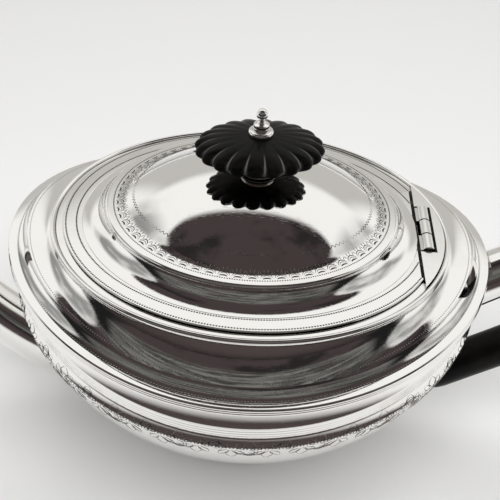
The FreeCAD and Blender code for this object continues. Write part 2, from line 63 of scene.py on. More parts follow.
FOOT_INNER_Z = FOOT_TOP_Z - 0.6
SILVER = (0.93, 0.92, 0.90, 1.0)
TARNISH = (0.72, 0.68, 0.60, 1.0)
# Colour of the creases: grime together with painted shade.
GRIME_AND_SHADE = (0.05, 0.046, 0.04, 1.0)
WAVE_SCALE = 75.0
SCRATCH_TURNS = (0.4, 1.5, 2.6)
SCRATCH_STRETCH = (140.0, 2600.0, 2600.0)
SCRATCH_DEPTH = 0.006
SCRATCH_FROM = (0.60, 0.72)
CLOUD_SCALE = 38.0
CLOUD_SPAN = (0.35, 0.75)
CLOUD_HAZE = 2.2
TARNISH_SPAN = (0.52, 0.85)
TARNISH_MOST = 0.45
CORNER_REACH = 1.2
CORNER_SPAN = (0.30, 0.72)
GRIME_AND_SHADE_MOST = 0.9


def plug(tree, made, inputs):
    """Inputs of a shader node, each given a value or linked to a socket."""
    for socket, value in inputs.items():
        if isinstance(value, bpy.types.NodeSocket):
            tree.links.new(value, made.inputs[socket])
        else:
            made.inputs[socket].default_value = value


def node(tree, kind, inputs=None, **fields):
    """Shader node with its fields set and its inputs plugged."""
    made = tree.nodes.new(kind)
    for field, value in fields.items():
        setattr(made, field, value)
    plug(tree, made, inputs or {})
    return made


def ramp(tree, value, low, high, start=0.0, end=1.0):
    """Smooth step of a value from start to end."""
    step = node(tree, "ShaderNodeMapRange", {
        "Value": value, "From Min": low, "From Max": high, "To Min": start, "To Max": end},
        interpolation_type="SMOOTHSTEP")
    return step.outputs["Result"]


def calc(tree, operation, *values):
    """One sum carried over several values in turn."""
    result = values[0]
    for value in values[1:]:
        result = node(tree, "ShaderNodeMath", {0: result, 1: value}, operation=operation).outputs[0]
    return result


def blend(tree, factor, under, over):
    """Colour between two colours or sockets."""
    mixed = node(tree, "ShaderNodeMix", {"Factor": factor, 6: under, 7: over}, data_type="RGBA")
    return mixed.outputs[2]


def noise(tree, place, scale, detail, roughness=0.5, distortion=0.0):
    """Noise read at a place."""
    made = node(tree, "ShaderNodeTexNoise", {
        "Vector": place, "Scale": scale, "Detail": detail, "Roughness": roughness,
        "Distortion": distortion})
    return made.outputs["Fac"]


def new_finish(name):
    """New material, its node tree, its shader and the place on the piece."""
    material = bpy.data.materials.new(name)
    material.use_nodes = True
    tree = material.node_tree
    place = node(tree, "ShaderNodeTexCoord").outputs["Object"]
    return material, tree, tree.nodes["Principled BSDF"], place


def polished_silver(name, wave_height, haze, bare=SILVER):
    """Hand-raised silver: slow waves from the hammer, hairline scratches, clouds of tarnish, and crease
    grime with painted shade in the corners.
    """
    material, tree, face, place = new_finish(name)
    waves = noise(tree, place, WAVE_SCALE, 2.0, 0.45)
    bump = node(tree, "ShaderNodeBump", {
        "Strength": 1.0, "Distance": wave_height * MM, "Height": waves})
    scratched = []
    for turn in SCRATCH_TURNS:
        lean = node(tree, "ShaderNodeMapping", {
            "Vector": place, "Rotation": (0.7 * turn, 0.3, turn), "Scale": SCRATCH_STRETCH})
        streak = noise(tree, lean.outputs["Vector"], 1.0, 2.0, 0.6)
        scratched.append(ramp(tree, streak, *SCRATCH_FROM))
    lines = calc(tree, "MAXIMUM", *scratched)
    bump = node(tree, "ShaderNodeBump", {
        "Strength": 0.35, "Distance": SCRATCH_DEPTH * MM, "Height": lines,
        "Normal": bump.outputs["Normal"]}, invert=True)
    cloud = noise(tree, place, CLOUD_SCALE, 4.0, 0.6)
    clouded = ramp(tree, cloud, *CLOUD_SPAN, haze, CLOUD_HAZE * haze)
    rough = calc(tree, "ADD", clouded, ramp(tree, lines, 0.0, 1.0, 0.0, haze))
    # Ambient occlusion darkens the corners towards the crease colour: painted shade in the creases,
    # together with the grime that collects there.
    corner = node(tree, "ShaderNodeAmbientOcclusion", {"Distance": CORNER_REACH * MM}, samples=6)
    grime_and_shade = ramp(tree, corner.outputs["AO"], *CORNER_SPAN, GRIME_AND_SHADE_MOST, 0.0)
    dulled = blend(tree, ramp(tree, cloud, *TARNISH_SPAN, 0.0, TARNISH_MOST), bare, TARNISH)
    plug(tree, face, {
        "Base Color": blend(tree, grime_and_shade, dulled, GRIME_AND_SHADE), "Metallic": 1.0, "Roughness": rough,
        "Normal": bump.outputs["Normal"]})
    return material


body_silver = polished_silver("body_silver", 0.030, 0.014)


def arc_through(start, middle, end, steps):
    """Arc of a circle from start through middle to end, each a radius and a height."""
    (ax, az), (bx, bz), (cx, cz) = start, middle, end
    twice = 2 * (ax * (bz - cz) + bx * (cz - az) + cx * (az - bz))
    a, b, c = (x * x + z * z for x, z in (start, middle, end))
    x = (a * (bz - cz) + b * (cz - az) + c * (az - bz)) / twice
    z = (a * (cx - bx) + b * (ax - cx) + c * (bx - ax)) / twice
    radius = math.hypot(ax - x, az - z)
    first, half, last = (math.atan2(p[1] - z, p[0] - x) for p in (start, middle, end))
    full = 2 * math.pi
    if (half - first) % full < (last - first) % full:
        sweep = (last - first) % full
    else:
        sweep = -((first - last) % full)
    turns = [first + sweep * step / steps for step in range(steps + 1)]
    return [(x + radius * math.cos(turn), z + radius * math.sin(turn)) for turn in turns]


def ring_corners(points, oval, sweep=0.0):
    """Outline corners that share one oval and one rise."""
    return [Vector((radius, z, sweep, oval)) for radius, z in points]


def eased(outline, radius, steps=3, sharp=28):
    """Closed outline with its sharp corners rounded off."""
    corners = []
    for before, corner, after in zip(outline[-1:] + outline[:-1], outline, outline[1:] + outline[:1]):
        into = (corner - before).to_2d()
        onward = (after - corner).to_2d()
        turn = into.angle(onward, 0.0)
        if turn < math.radians(sharp):
            corners.append(corner)
            continue
        reach = min(radius * math.tan(turn / 2), 0.45 * into.length, 0.45 * onward.length)
        start = corner + (before - corner) * (reach / into.length)
        end = corner + (after - corner) * (reach / onward.length)
        for step in range(steps + 1):
            t = step / steps
            corners.append(start * (1 - t) ** 2 + corner * (2 * t * (1 - t)) + end * t ** 2)
    return corners


def call_it(piece, name):
    """Piece and its mesh given one name."""
    piece.name = name
    piece.data.name = name


def draw_out(name, outline):
    """New piece in edit mode: one vertex drawn out corner by corner along an outline."""
    bpy.ops.object.select_all(action="DESELECT")
    bpy.ops.mesh.primitive_plane_add(size=MM)
    piece = bpy.context.object
    call_it(piece, name)
    bpy.ops.object.mode_set(mode="EDIT")
    bpy.ops.mesh.select_all(action="SELECT")
    bpy.ops.mesh.merge(type="CENTER")
    bpy.ops.transform.translate(value=(outline[0][0] * MM, 0, outline[0][1] * MM))
    for last, corner in zip(outline, outline[1:]):
        step = (corner - last) * MM
        bpy.ops.mesh.extrude_vertices_move(TRANSFORM_OT_translate={"value": (step[0], 0, step[1])})
    return piece


def finish_mesh():
    """Merged, closed and outward faces, in object mode, smooth except at hard edges."""
    bpy.ops.mesh.select_all(action="SELECT")
    bpy.ops.mesh.remove_doubles(threshold=0.002 * MM)
    bpy.ops.mesh.delete_loose(use_verts=True, use_edges=True, use_faces=False)
    bpy.ops.mesh.select_all(action="SELECT")
    bpy.ops.mesh.normals_make_consistent(inside=False)
    bpy.ops.object.mode_set(mode="OBJECT")
    bpy.ops.object.shade_smooth_by_angle(angle=HARD_EDGE)


def places_of(piece):
    """Vertices of a piece as rows of millimetres."""
    flat = np.empty(3 * len(piece.data.vertices))
    piece.data.vertices.foreach_get("co", flat)
    return flat.reshape(-1, 3) / MM


def move_to(piece, places):
    """Vertices of a piece put at rows of millimetres."""
    piece.data.vertices.foreach_set("co", (places * MM).ravel())
    piece.data.update()


def nearest_corner(places, rings):
    """Number of the outline corner that each place was spun from."""
    radius = np.hypot(places[:, 0], places[:, 1])
    away = (radius[:, None] - rings[:, 0]) ** 2 + (places[:, 2, None] - rings[:, 1]) ** 2
    return away.argmin(1)


def turned(name, outline, steps=TURN_STEPS):
    """Piece spun from a closed outline, each ring narrowed to its oval and raised at its ends."""
    piece = draw_out(name, outline + outline[:1])
    bpy.ops.mesh.select_all(action="SELECT")
    bpy.ops.mesh.spin(steps=steps, angle=2 * math.pi, center=(0, 0, 0), axis=(0, 0, 1))
    finish_mesh()
    places = places_of(piece)
    rings = np.array(outline)
    nearest = rings[nearest_corner(places, rings)]
    turn = np.arctan2(places[:, 1], places[:, 0])
    places[:, 1] *= nearest[:, 3]
    places[:, 2] += nearest[:, 2] * np.cos(2 * turn)
    move_to(piece, places)
    return piece


def fit(piece, body, material, *nodes, slot="silver"):
    """Piece given its finish and carried by a body, in place of the solids it stands for."""
    piece.data.materials.clear()
    piece.data.materials.append(material)
    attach(piece, body)
    if nodes:
        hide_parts(*nodes)


foot_middle = 0.5 * (FOOT_EDGE_H + FOOT_INNER_Z)
foot_line = [(FOOT_R, 0), (FOOT_R, FOOT_EDGE_H)]
foot_line += arc_through(
    (FOOT_R, FOOT_EDGE_H), (FOOT_WAIST_R, foot_middle), (FOOT_TOP_R, FOOT_TOP_Z), 16)[1:]
foot_line += arc_through(
    (FOOT_WAIST_R, FOOT_INNER_Z), (FOOT_WAIST_R - FOOT_WALL, foot_middle), (FOOT_R - FOOT_WALL, 0), 12)
foot = turned("oval_foot", eased(ring_corners(foot_line, BODY_OVAL), EDGE))
fit(foot, "pot", body_silver, "foot")

# Bottom plate
# A flat oval of silver sheet that closes the pot below. It is let into the lower body and
# soldered from inside.
BOTTOM_Z = 10.0
BOTTOM_SHEET = 1.1
PLATE_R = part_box("bottom_plate")[1].x / MM
plate_top = BOTTOM_Z + BOTTOM_SHEET
plate_line = [(0, BOTTOM_Z), (PLATE_R, BOTTOM_Z), (PLATE_R, plate_top), (0, plate_top)]
bottom_plate = turned("floor_plate", eased(ring_corners(plate_line, BODY_OVAL), 0.1, sharp=60))
fit(bottom_plate, "pot", body_silver, "bottom_plate")

# Lower body
# The deep oval bowl of the pot, raised from one sheet of silver. Two coves and a reeded
# band are worked under the rim, the belly curves in to the flat bottom, and a patch of
# holes is drilled behind the spout to hold back the leaves.
SHEET = 0.8
SEAM = 0.05
RIM_Z = 68.6
RIM_H = 2.9
RIM_SWEEP = 4.8
NECK_R = 69.2
FLARE_R = 70.3
FLARE_H = 4.6
BAND_H = 3.6
BAND_REEDS = 4
REED_DEPTH = 0.07
BELLY_R = 71.4
LOWER_FLARE_H = 3.1
BOTTOM_R = 29.7
NECK_HOLLOW = 0.04
BELLY_POWER = 1.41
BELLY_STEPS = 36
LEVEL_BELOW = 4.0
STRAINER_HOLE_R = 1.5
STRAINER_PITCH = 4.2
STRAINER_Z = 21.6

rim_bottom = RIM_Z - RIM_H / 2
band_top = rim_bottom - FLARE_H
band_bottom = band_top - BAND_H
belly_top = band_bottom - LOWER_FLARE_H


def belly_corner(turn):
    """Corner on the belly, from its widest ring at 0 to the bottom at a quarter turn."""
    reach = max(math.cos(turn), 0.0) ** BELLY_POWER
    drop = math.sin(turn) ** BELLY_POWER
    z = belly_top - (belly_top - BOTTOM_Z) * drop
    fade = (z - BOTTOM_Z - LEVEL_BELOW) / (belly_top - BOTTOM_Z - LEVEL_BELOW)
    radius = BOTTOM_R + (BELLY_R - BOTTOM_R) * reach
    return Vector((radius, z, RIM_SWEEP * min(max(fade, 0.0), 1.0), BODY_OVAL))


def reeds(start, end, count, depth, steps=6):
    """Row of fine half-round reeds down an upright stretch between two corners."""
    corners = []
    for step in range(count * steps + 1):
        corner = start.lerp(end, step / (count * steps))
        corner[0] -= depth * (1 - abs(math.sin(math.pi * step / steps)))
        corners.append(corner)
    return corners


def body_ring(radius, z):
    """Corner above the belly, where every ring has the rim's rise."""
    return Vector((radius, z, RIM_SWEEP, BODY_OVAL))


def hollow_between(start, end, hollow, steps):
    """Shallow cove from one corner to another, sunk half way by a share of the stretch."""
    corners = []
    for step in range(steps + 1):
        share = step / steps
        depth = 4 * hollow * share * (1 - share)
        corner = start.lerp(end, share)
        corner[0] += depth * (end[1] - start[1])
        corner[1] -= depth * (end[0] - start[0])
        corners.append(corner)
    return corners


neck_top = body_ring(NECK_R, rim_bottom - SEAM)
band_start = body_ring(FLARE_R, band_top)
band_end = body_ring(FLARE_R, band_bottom)
neck_cove = hollow_between(neck_top, band_start, NECK_HOLLOW, 10)
reeded_band = reeds(band_start, band_end, BAND_REEDS, REED_DEPTH)
lower_cove = hollow_between(band_end, body_ring(BELLY_R, belly_top), NECK_HOLLOW, 10)
belly = [belly_corner(0.5 * math.pi * step / BELLY_STEPS) for step in range(1, BELLY_STEPS + 1)]
outer_side = neck_cove + reeded_band[1:] + lower_cove[1:] + belly
inner_line = neck_cove[::3] + [reeded_band[0], reeded_band[-1]] + lower_cove[::3]
inner_line += belly[::2] + belly[-1:]
inner_side = [corner + Vector((-SHEET, SHEET, 0, 0)) for corner in inner_line]
inner_side[0][1] = outer_side[0][1]
lower_body = turned("lower_body_raised", outer_side + inner_side[::-1])


def pick(piece):
    """One piece selected and made active."""
    bpy.ops.object.select_all(action="DESELECT")
    bpy.context.view_layer.objects.active = piece
    piece.select_set(True)


def cut_away(piece, cutter, keep_cutter=False):
    """Piece with a cutter taken out of it, its new edges left hard."""
    pick(piece)
    cut = piece.modifiers.new("cut", "BOOLEAN")
    cut.operation = "DIFFERENCE"
    cut.solver = "EXACT"
    cut.object = cutter
    bpy.ops.object.modifier_apply(modifier=cut.name)
    bpy.ops.object.shade_smooth_by_angle(angle=HARD_EDGE)
    if not keep_cutter:
        bpy.data.objects.remove(cutter)


def drill(radius, start, end, sides=24):
    """Round cutter between two points in millimetres."""
    start, end = Vector(start) * MM, Vector(end) * MM
    bpy.ops.object.select_all(action="DESELECT")
    bpy.ops.mesh.primitive_cylinder_add(
        vertices=sides, radius=radius * MM, depth=(end - start).length, location=(start + end) / 2,
        rotation=(end - start).to_track_quat("Z", "Y").to_euler())
    return bpy.context.object


for row in (-1, 0, 1):
    for column in (-1, 0, 1):
        hole = (column * STRAINER_PITCH, STRAINER_Z + row * STRAINER_PITCH)
        cut_away(lower_body, drill(STRAINER_HOLE_R, (-BELLY_R, *hole), (-BOTTOM_R, *hole)))
fit(lower_body, "pot", body_silver, "lower_body")

# Belly engraving
# A leafy scroll cut round the belly with a graver, under a row of punched dots.
# Each stroke is a narrow pair of facets that swells in the middle and dies out at its ends.
STROKE_W = 0.36
STROKE_H = 0.10
SCROLLS = 46
BAND_MIDDLE = 0.04
BAND_REACH = 0.12
COVE_SHARE = 0.09
SCROLL_ARCS = (
    (0.0, 0.0, 0.52, 0.55, 5, 175, 13),
    (0.0, 0.2, 0.24, 0.5, -60, 200, 13),
    (0.05, 0.2, 0.1, 0.2, -120, 170, 9),
)
LEAF_BOW = 0.2
LEAF_VEINS = ((-0.32, 0.7), (0.0, 1.0), (0.32, 0.7))
DOT_R = 0.25
DOT_H = 0.07
BELLY_DOTS = 470
BELLY_DOT_ROW = 0.012
CUT = (0.20, 0.195, 0.18, 1.0)
cut_silver = polished_silver("cut_silver", 0.0, 0.16, CUT)


def marks(name, verts, faces):
    """Piece made of many small closed marks."""
    mesh = bpy.data.meshes.new(name)
    mesh.from_pydata([tuple(Vector(v) * MM) for v in verts], [], faces)
    piece = bpy.data.objects.new(name, mesh)
    bpy.context.scene.collection.objects.link(piece)
    return piece


def on_surface(surface, u, v, step=0.002):
    """Point of a surface, with unit vectors along u, along v and outwards."""
    point = surface(u, v)
    along = (surface(u + step, v) - surface(u - step, v)).normalized()
    across = (surface(u, v + step) - surface(u, v - step)).normalized()
    outward = along.cross(across).normalized()
    if outward.dot(point - Vector((0, 0, RIM_Z / 2))) < 0:
        outward.negate()
    return point, along, across, outward


def strokes_on(name, surface, lines, width=STROKE_W, height=STROKE_H):
    """Engraved strokes along lines of (u, v) on a surface."""
    verts, faces = [], []
    for line in lines:
        spots = [on_surface(surface, u, v) for u, v in line]
        base = len(verts)
        last = len(spots) - 1
        for index, (point, _, _, outward) in enumerate(spots):
            before = spots[max(index - 1, 0)][0]
            after = spots[min(index + 1, last)][0]
            side = (after - before).normalized().cross(outward)
            swell = max(math.sin(math.pi * index / last), 0.03) ** 0.7
            half = side * (0.5 * width * swell)
            sunk = outward * (-0.5 * height)
            verts += [point - half + sunk, point + outward * (height * swell), point + half + sunk]
        for index in range(last):
            a = base + 3 * index
            for edge in range(3):
                following = (edge + 1) % 3
                faces.append((a + edge, a + following, a + 3 + following, a + 3 + edge))
        faces.append((base, base + 2, base + 1))
        faces.append((base + 3 * last, base + 3 * last + 1, base + 3 * last + 2))
    piece = marks(name, verts, faces)
    pick(piece)
    bpy.ops.object.mode_set(mode="EDIT")
    bpy.ops.mesh.select_all(action="SELECT")
    bpy.ops.mesh.normals_make_consistent(inside=False)
    bpy.ops.object.mode_set(mode="OBJECT")
    return piece


def dots_on(name, surface, v, count, radius=DOT_R, height=DOT_H, end_x=math.inf):
    """Row of punched dots round a surface at one v, as far along X as end_x."""
    bpy.ops.object.select_all(action="DESELECT")
    bpy.ops.mesh.primitive_ico_sphere_add(subdivisions=1, radius=1.0)
    dot = bpy.context.object
    shape = [vertex.co.copy() for vertex in dot.data.vertices]
    sides = [tuple(face.vertices) for face in dot.data.polygons]
    bpy.data.objects.remove(dot)
    verts, faces = [], []
    for step in range(count):
        point, along, across, outward = on_surface(surface, 2 * math.pi * step / count, v)
        if point.x > end_x:
            continue
        base = len(verts)
        verts += [
            point + along * (c.x * radius) + across * (c.y * radius) + outward * (c.z * height)
            for c in shape]
        faces += [tuple(base + corner for corner in side) for side in sides]
    piece = marks(name, verts, faces)
    piece.data.shade_smooth()
    return piece


def swept_ring(corner, turn):
    """Point on the ring of an outline corner."""
    radius, z, sweep, oval = corner
    rise = sweep * math.cos(2 * turn)
    return Vector((radius * math.cos(turn), oval * radius * math.sin(turn), z + rise))


def belly_surface(turn, share):
    """Point on the belly, or on the cove above it where the share of the way down is below nought."""
    if share >= 0:
        return swept_ring(belly_corner(share * math.pi / 2), turn)
    place = (len(lower_cove) - 1) * max(1 + share / COVE_SHARE, 0.0)
    index = int(place)
    return swept_ring(lower_cove[index].lerp(lower_cove[index + 1], place - index), turn)


def arc_line(middle, reach, start, end, points):
    """Line of (u, v) points on an oval arc, its angles in degrees."""
    line = []
    for step in range(points):
        turn = math.radians(start + (end - start) * step / (points - 1))
        line.append((middle[0] + reach[0] * math.cos(turn), middle[1] + reach[1] * math.sin(turn)))
    return line


def straight_line(start, end, bend=0.0, points=7):
    """Line of (u, v) points from start to end, bowed sideways by bend."""
    line = []
    for step in range(points):
        t = step / (points - 1)
        bow = bend * math.sin(math.pi * t)
        line.append((
            start[0] + (end[0] - start[0]) * t - bow * (end[1] - start[1]),
            start[1] + (end[1] - start[1]) * t + bow * (end[0] - start[0])))
    return line


scroll_lines = []
unit = 2 * math.pi / SCROLLS
for scroll in range(SCROLLS):
    u = unit * scroll
    up = 1 if scroll % 2 else -1
    for shift, rise, width, height, start, end, points in SCROLL_ARCS:
        middle = (u + shift * unit, BAND_MIDDLE + up * rise * BAND_REACH)
        reach = (width * unit, up * height * BAND_REACH)
        scroll_lines.append(arc_line(middle, reach, start, end, points))
    for side, centre in ((1, 0.5), (-1, 0.0)):
        for lean, length in LEAF_VEINS:
            root = (u + (centre + 0.3 * lean) * unit, BAND_MIDDLE + side * 0.05 * BAND_REACH)
            tip = (u + (centre + 1.1 * lean) * unit, BAND_MIDDLE + side * length * BAND_REACH)
            scroll_lines.append(straight_line(root, tip, LEAF_BOW))
            scroll_lines.append(straight_line(root, tip, -LEAF_BOW))
belly_scroll = strokes_on("belly_scroll", belly_surface, scroll_lines)
fit(belly_scroll, "pot", cut_silver)
belly_dots = dots_on("belly_dots", belly_surface, BELLY_DOT_ROW, BELLY_DOTS)
fit(belly_dots, "pot", cut_silver)

# Pot volume
# The whole outside of the pot as one closed form. It shows nowhere: it trims the roots
# of the spout and the sockets to the body before they are soldered on, and is then removed.
MOUTH_R = 60.3
MOUTH_OVAL = 0.86
RIM_R = 73.0
RIM_OVAL = 0.85
LID_Z = 80.4
rim_top = RIM_Z + RIM_H / 2
volume_line = [corner + Vector((SEAM, 0, 0, 0)) for corner in neck_cove + lower_cove + belly]
volume_line += ring_corners([(BOTTOM_R, 0), (0, 0), (0, LID_Z), (MOUTH_R, LID_Z)], MOUTH_OVAL)
volume_line += ring_corners([(RIM_R + SEAM, rim_top), (RIM_R + SEAM, rim_bottom)], RIM_OVAL, RIM_SWEEP)
pot_volume = turned("pot_volume", volume_line)

# Spout
# A swan-neck tube of silver sheet, seamed along its underside, flared a little at the lip
# and soldered over the strainer. Stations run from inside the body to the lip: X, Z,
# half-height and half-width.
SPOUT_WALL = 1.0
SPOUT_LIP_Z = 86.6
SPOUT_STATIONS = [
    (-36.0, 27.0, 8.0, 8.4),
    (-47.0, 22.2, 9.6, 9.4),
    (-58.0, 19.8, 10.3, 9.6),
    (-69.0, 22.8, 9.9, 9.3),
    (-82.8, 33.6, 8.9, 8.6),
    (-94.0, 48.0, 7.6, 7.4),
    (-102.8, 63.0, 6.6, 6.6),
    (-111.6, 76.0, 6.0, 6.2),
    (-121.5, 85.0, 5.6, 6.4),
]
SECTION_SIDES = 64


def smooth_stations(stations, per_span):
    """Stations on a smooth curve through the ones given, with their headings."""
    rows = [Vector(station) for station in stations]
    ends = [2 * rows[0] - rows[1]] + rows + [2 * rows[-1] - rows[-2]]
    smooth = []
    for a, b, c, d in zip(ends, ends[1:], ends[2:], ends[3:]):
        for step in range(per_span):
            t = step / per_span
            bend = (2 * a - 5 * b + 4 * c - d) * t ** 2
            smooth.append(0.5 * (2 * b + (c - a) * t + bend + (3 * b - a - 3 * c + d) * t ** 3))
    smooth.append(rows[-1])
    return smooth


def swept(name, stations):
    """Closed tube of oval rings, each square to the line through the stations."""
    bpy.ops.object.select_all(action="DESELECT")
    last = len(stations) - 1
    for index, (x, z, half_height, half_width) in enumerate(stations):
        before, after = stations[max(index - 1, 0)], stations[min(index + 1, last)]
        heading = math.atan2(after[1] - before[1], after[0] - before[0])
        bpy.ops.mesh.primitive_circle_add(
            vertices=SECTION_SIDES, radius=half_height * MM, location=(x * MM, 0, z * MM),
            rotation=(0, math.pi / 2 - heading, 0),
            fill_type="NGON" if index in (0, last) else "NOTHING")
        if index == 0:
            piece = bpy.context.object
            call_it(piece, name)
            bpy.ops.object.transform_apply()
            bpy.ops.object.mode_set(mode="EDIT")
            bpy.ops.mesh.select_all(action="SELECT")
        bpy.ops.transform.resize(value=(1, half_width / half_height, 1))
    bpy.ops.mesh.select_all(action="SELECT")
    bpy.ops.mesh.delete(type="ONLY_FACE")
    bpy.ops.mesh.select_all(action="SELECT")
    bpy.ops.mesh.bridge_edge_loops()
    bpy.ops.mesh.select_all(action="DESELECT")
    bpy.ops.mesh.select_non_manifold()
    bpy.ops.mesh.fill_holes(sides=0)
    finish_mesh()
    return piece


spout_line = smooth_stations(SPOUT_STATIONS, 6)
spout = swept("spout_tube", spout_line)
bore_line = [row - Vector((0, 0, SPOUT_WALL, SPOUT_WALL)) for row in spout_line]
overrun = 2 * bore_line[-1] - bore_line[-2]
cut_away(spout, swept("spout_bore", bore_line + [overrun]))
cut_away(spout, pot_volume, keep_cutter=True)


def block(x, y, z):
    """Square cutter between the two ends given for each axis, in millimetres."""
    low, high = Vector((x[0], y[0], z[0])) * MM, Vector((x[1], y[1], z[1])) * MM
    bpy.ops.object.select_all(action="DESELECT")
    bpy.ops.mesh.primitive_cube_add(size=1, location=(low + high) / 2, scale=high - low)
    return bpy.context.object


cut_away(spout, block((-140, 0), (-20, 20), (SPOUT_LIP_Z, SPOUT_LIP_Z + 20)))
fit(spout, "pot", body_silver, "spout")

# Handle sockets
# Two cast silver sockets soldered to the body, the upper under the rim and the lower at the
# belly. Each is bored for a peg of the handle.
UPPER_STATIONS = [
    (64.4, 57.9, 8.3, 8.3),
    (75.5, 65.4, 7.8, 7.8),
    (86.6, 72.9, 7.4, 7.4),
]
LOWER_STATIONS = [
    (35.0, 27.4, 7.0, 7.0),
    (46.0, 22.2, 8.2, 8.0),
    (55.0, 20.0, 7.9, 7.8),
    (63.0, 21.4, 7.4, 7.4),
]
for name, stations in (("upper_socket", UPPER_STATIONS), ("lower_socket", LOWER_STATIONS)):
    socket = swept(name + "_cast", smooth_stations(stations, 8))
    cut_away(socket, pot_volume, keep_cutter=True)
    fit(socket, "pot", body_silver, name)
bpy.data.objects.remove(pot_volume)

# Rim band
# A strip of silver round the widest line of the pot, reeded on its edge and flat on top.
# It laps the body's upper edge and is soldered to it and to the shoulder.
RIM_WIDTH = 2.8
RIM_LAP = 1.6
RIM_REEDS = 3
RIM_REED_DEPTH = 0.08
RIM_EDGE = 0.35


def rim_ring(radius, z):
    """Corner of the rim, which has its own oval."""
    return Vector((radius, z, RIM_SWEEP, RIM_OVAL))


rim_line = [body_ring(NECK_R - RIM_LAP, rim_bottom), rim_ring(RIM_R - RIM_EDGE, rim_bottom)]
rim_line += reeds(
    rim_ring(RIM_R, rim_bottom + RIM_EDGE), rim_ring(RIM_R, rim_top - RIM_EDGE),
    RIM_REEDS, RIM_REED_DEPTH)
rim_line += [rim_ring(RIM_R - RIM_EDGE, rim_top), rim_ring(RIM_R - RIM_WIDTH, rim_top)]
rim_band = turned("reeded_rim", eased(rim_line, 0.2, sharp=38))
fit(rim_band, "pot", body_silver, "rim_band")

# Shoulder
# The upper half of the body, raised from sheet in two coves that climb from the rim to the
# mouth, with a row of punched dots on the flat beside the rim and another on the step.
STEP_R = 66.9
STEP_Z = 73.2
STEP_SWEEP = 5.0
MOUTH_Z = 78.3
COVE_HOLLOW = 0.09
COVE_STEPS = 14
RIM_DOTS = 500
RIM_DOT_INSET = 0.9
STEP_DOTS = 480
STEP_DOT_INSET = 1.2
STEP_DOT_R = 0.2
STEP_DOT_H = 0.06
PUNCHED = (0.50, 0.49, 0.46, 1.0)
punched_silver = polished_silver("punched_silver", 0.0, 0.10, PUNCHED)
mouth_corner = Vector((MOUTH_R, MOUTH_Z, 0, MOUTH_OVAL))
step_corner = Vector((STEP_R, STEP_Z, STEP_SWEEP, RIM_OVAL))
rim_corner = rim_ring(RIM_R - RIM_WIDTH - SEAM, rim_top)
inner_cove = hollow_between(mouth_corner, step_corner, COVE_HOLLOW, COVE_STEPS)
outer_cove = hollow_between(step_corner, rim_corner, COVE_HOLLOW, COVE_STEPS)
shoulder_outside = inner_cove + outer_cove[1:]
shoulder_inside = [corner - Vector((SHEET, SHEET, 0, 0)) for corner in shoulder_outside[::2]]
shoulder_inside[0][1] = shoulder_outside[0][1]
shoulder = turned("coved_shoulder", shoulder_outside + shoulder_inside[::-1])
fit(shoulder, "pot", body_silver, "shoulder")


def along_outline(outline):
    """Surface of a ringed outline: turn round the pot, then distance along the outline in corners."""
    def surface(turn, place):
        place = min(max(place, 0.0), len(outline) - 1.001)
        index = int(place)
        return swept_ring(outline[index].lerp(outline[index + 1], place - index), turn)
    return surface


rim_dots = dots_on("rim_dots", along_outline(outer_cove), COVE_STEPS - RIM_DOT_INSET, RIM_DOTS)
fit(rim_dots, "pot", punched_silver)
step_dots = dots_on(
    "step_dots", along_outline(inner_cove), COVE_STEPS - STEP_DOT_INSET, STEP_DOTS,
    STEP_DOT_R, STEP_DOT_H)
fit(step_dots, "pot", punched_silver)

# Mouth bead
# A half-round silver wire that stiffens the mouth. It is drawn, bent to the oval and soldered
# on the shoulder's upper edge.
BEAD_WIDTH = 1.7
BEAD_H = 1.7
bead_inner = MOUTH_R - BEAD_WIDTH
bead_bottom = MOUTH_Z + SEAM
bead_side = bead_bottom + BEAD_H / 2
bead_top = bead_bottom + BEAD_H
bead_line = [(bead_inner, bead_bottom), (MOUTH_R, bead_bottom)]
bead_line += arc_through(
    (MOUTH_R, bead_side), (MOUTH_R - BEAD_WIDTH / 2, bead_top), (bead_inner, bead_side), 14)
mouth_bead = turned("mouth_wire", eased(ring_corners(bead_line, MOUTH_OVAL), 0.15, sharp=60))
fit(mouth_bead, "pot", body_silver, "mouth_bead")

# Lid ledge
# A bent strip soldered inside the mouth. The lid's flange rests just above it, and it is
# cut away at the handle end to make room for the hinge.
LEDGE_W = 5.6
LEDGE_LIP_H = 4.0
LID_CLEARANCE = 0.3
HINGE_X, HINGE_Y, HINGE_Z = Vector(frame["joints"][0]["pos_m"]) / MM
KNUCKLE_L = 7.0
lid_under = LID_Z - SHEET
ledge_top = lid_under - LID_CLEARANCE
ledge_bottom = ledge_top - SHEET
ledge_inner = bead_inner - LEDGE_W
knuckle_end = 1.5 * KNUCKLE_L
pocket_y = (HINGE_Y - knuckle_end - LID_CLEARANCE, HINGE_Y + knuckle_end + LID_CLEARANCE)
ledge_line = [
    (ledge_inner, ledge_bottom - LEDGE_LIP_H),
    (ledge_inner + SHEET, ledge_bottom - LEDGE_LIP_H),
    (ledge_inner + SHEET, ledge_bottom),
    (bead_inner - SEAM, ledge_bottom),
    (bead_inner - SEAM, ledge_top),
    (ledge_inner, ledge_top)]
lid_ledge = turned("lid_seat", eased(ring_corners(ledge_line, MOUTH_OVAL), EDGE))
cut_away(lid_ledge, block((0, MOUTH_R), pocket_y, (ledge_bottom - LEDGE_LIP_H - 1, LID_Z)))
fit(lid_ledge, "pot", body_silver, "lid_ledge")

# Hinge on the pot
# A plate soldered across the handle end of the mouth, which carries the middle knuckle, and
# the drawn wire pin that runs through all three knuckles. Both are the solids' own shapes,
# cleaned up and given a finish.


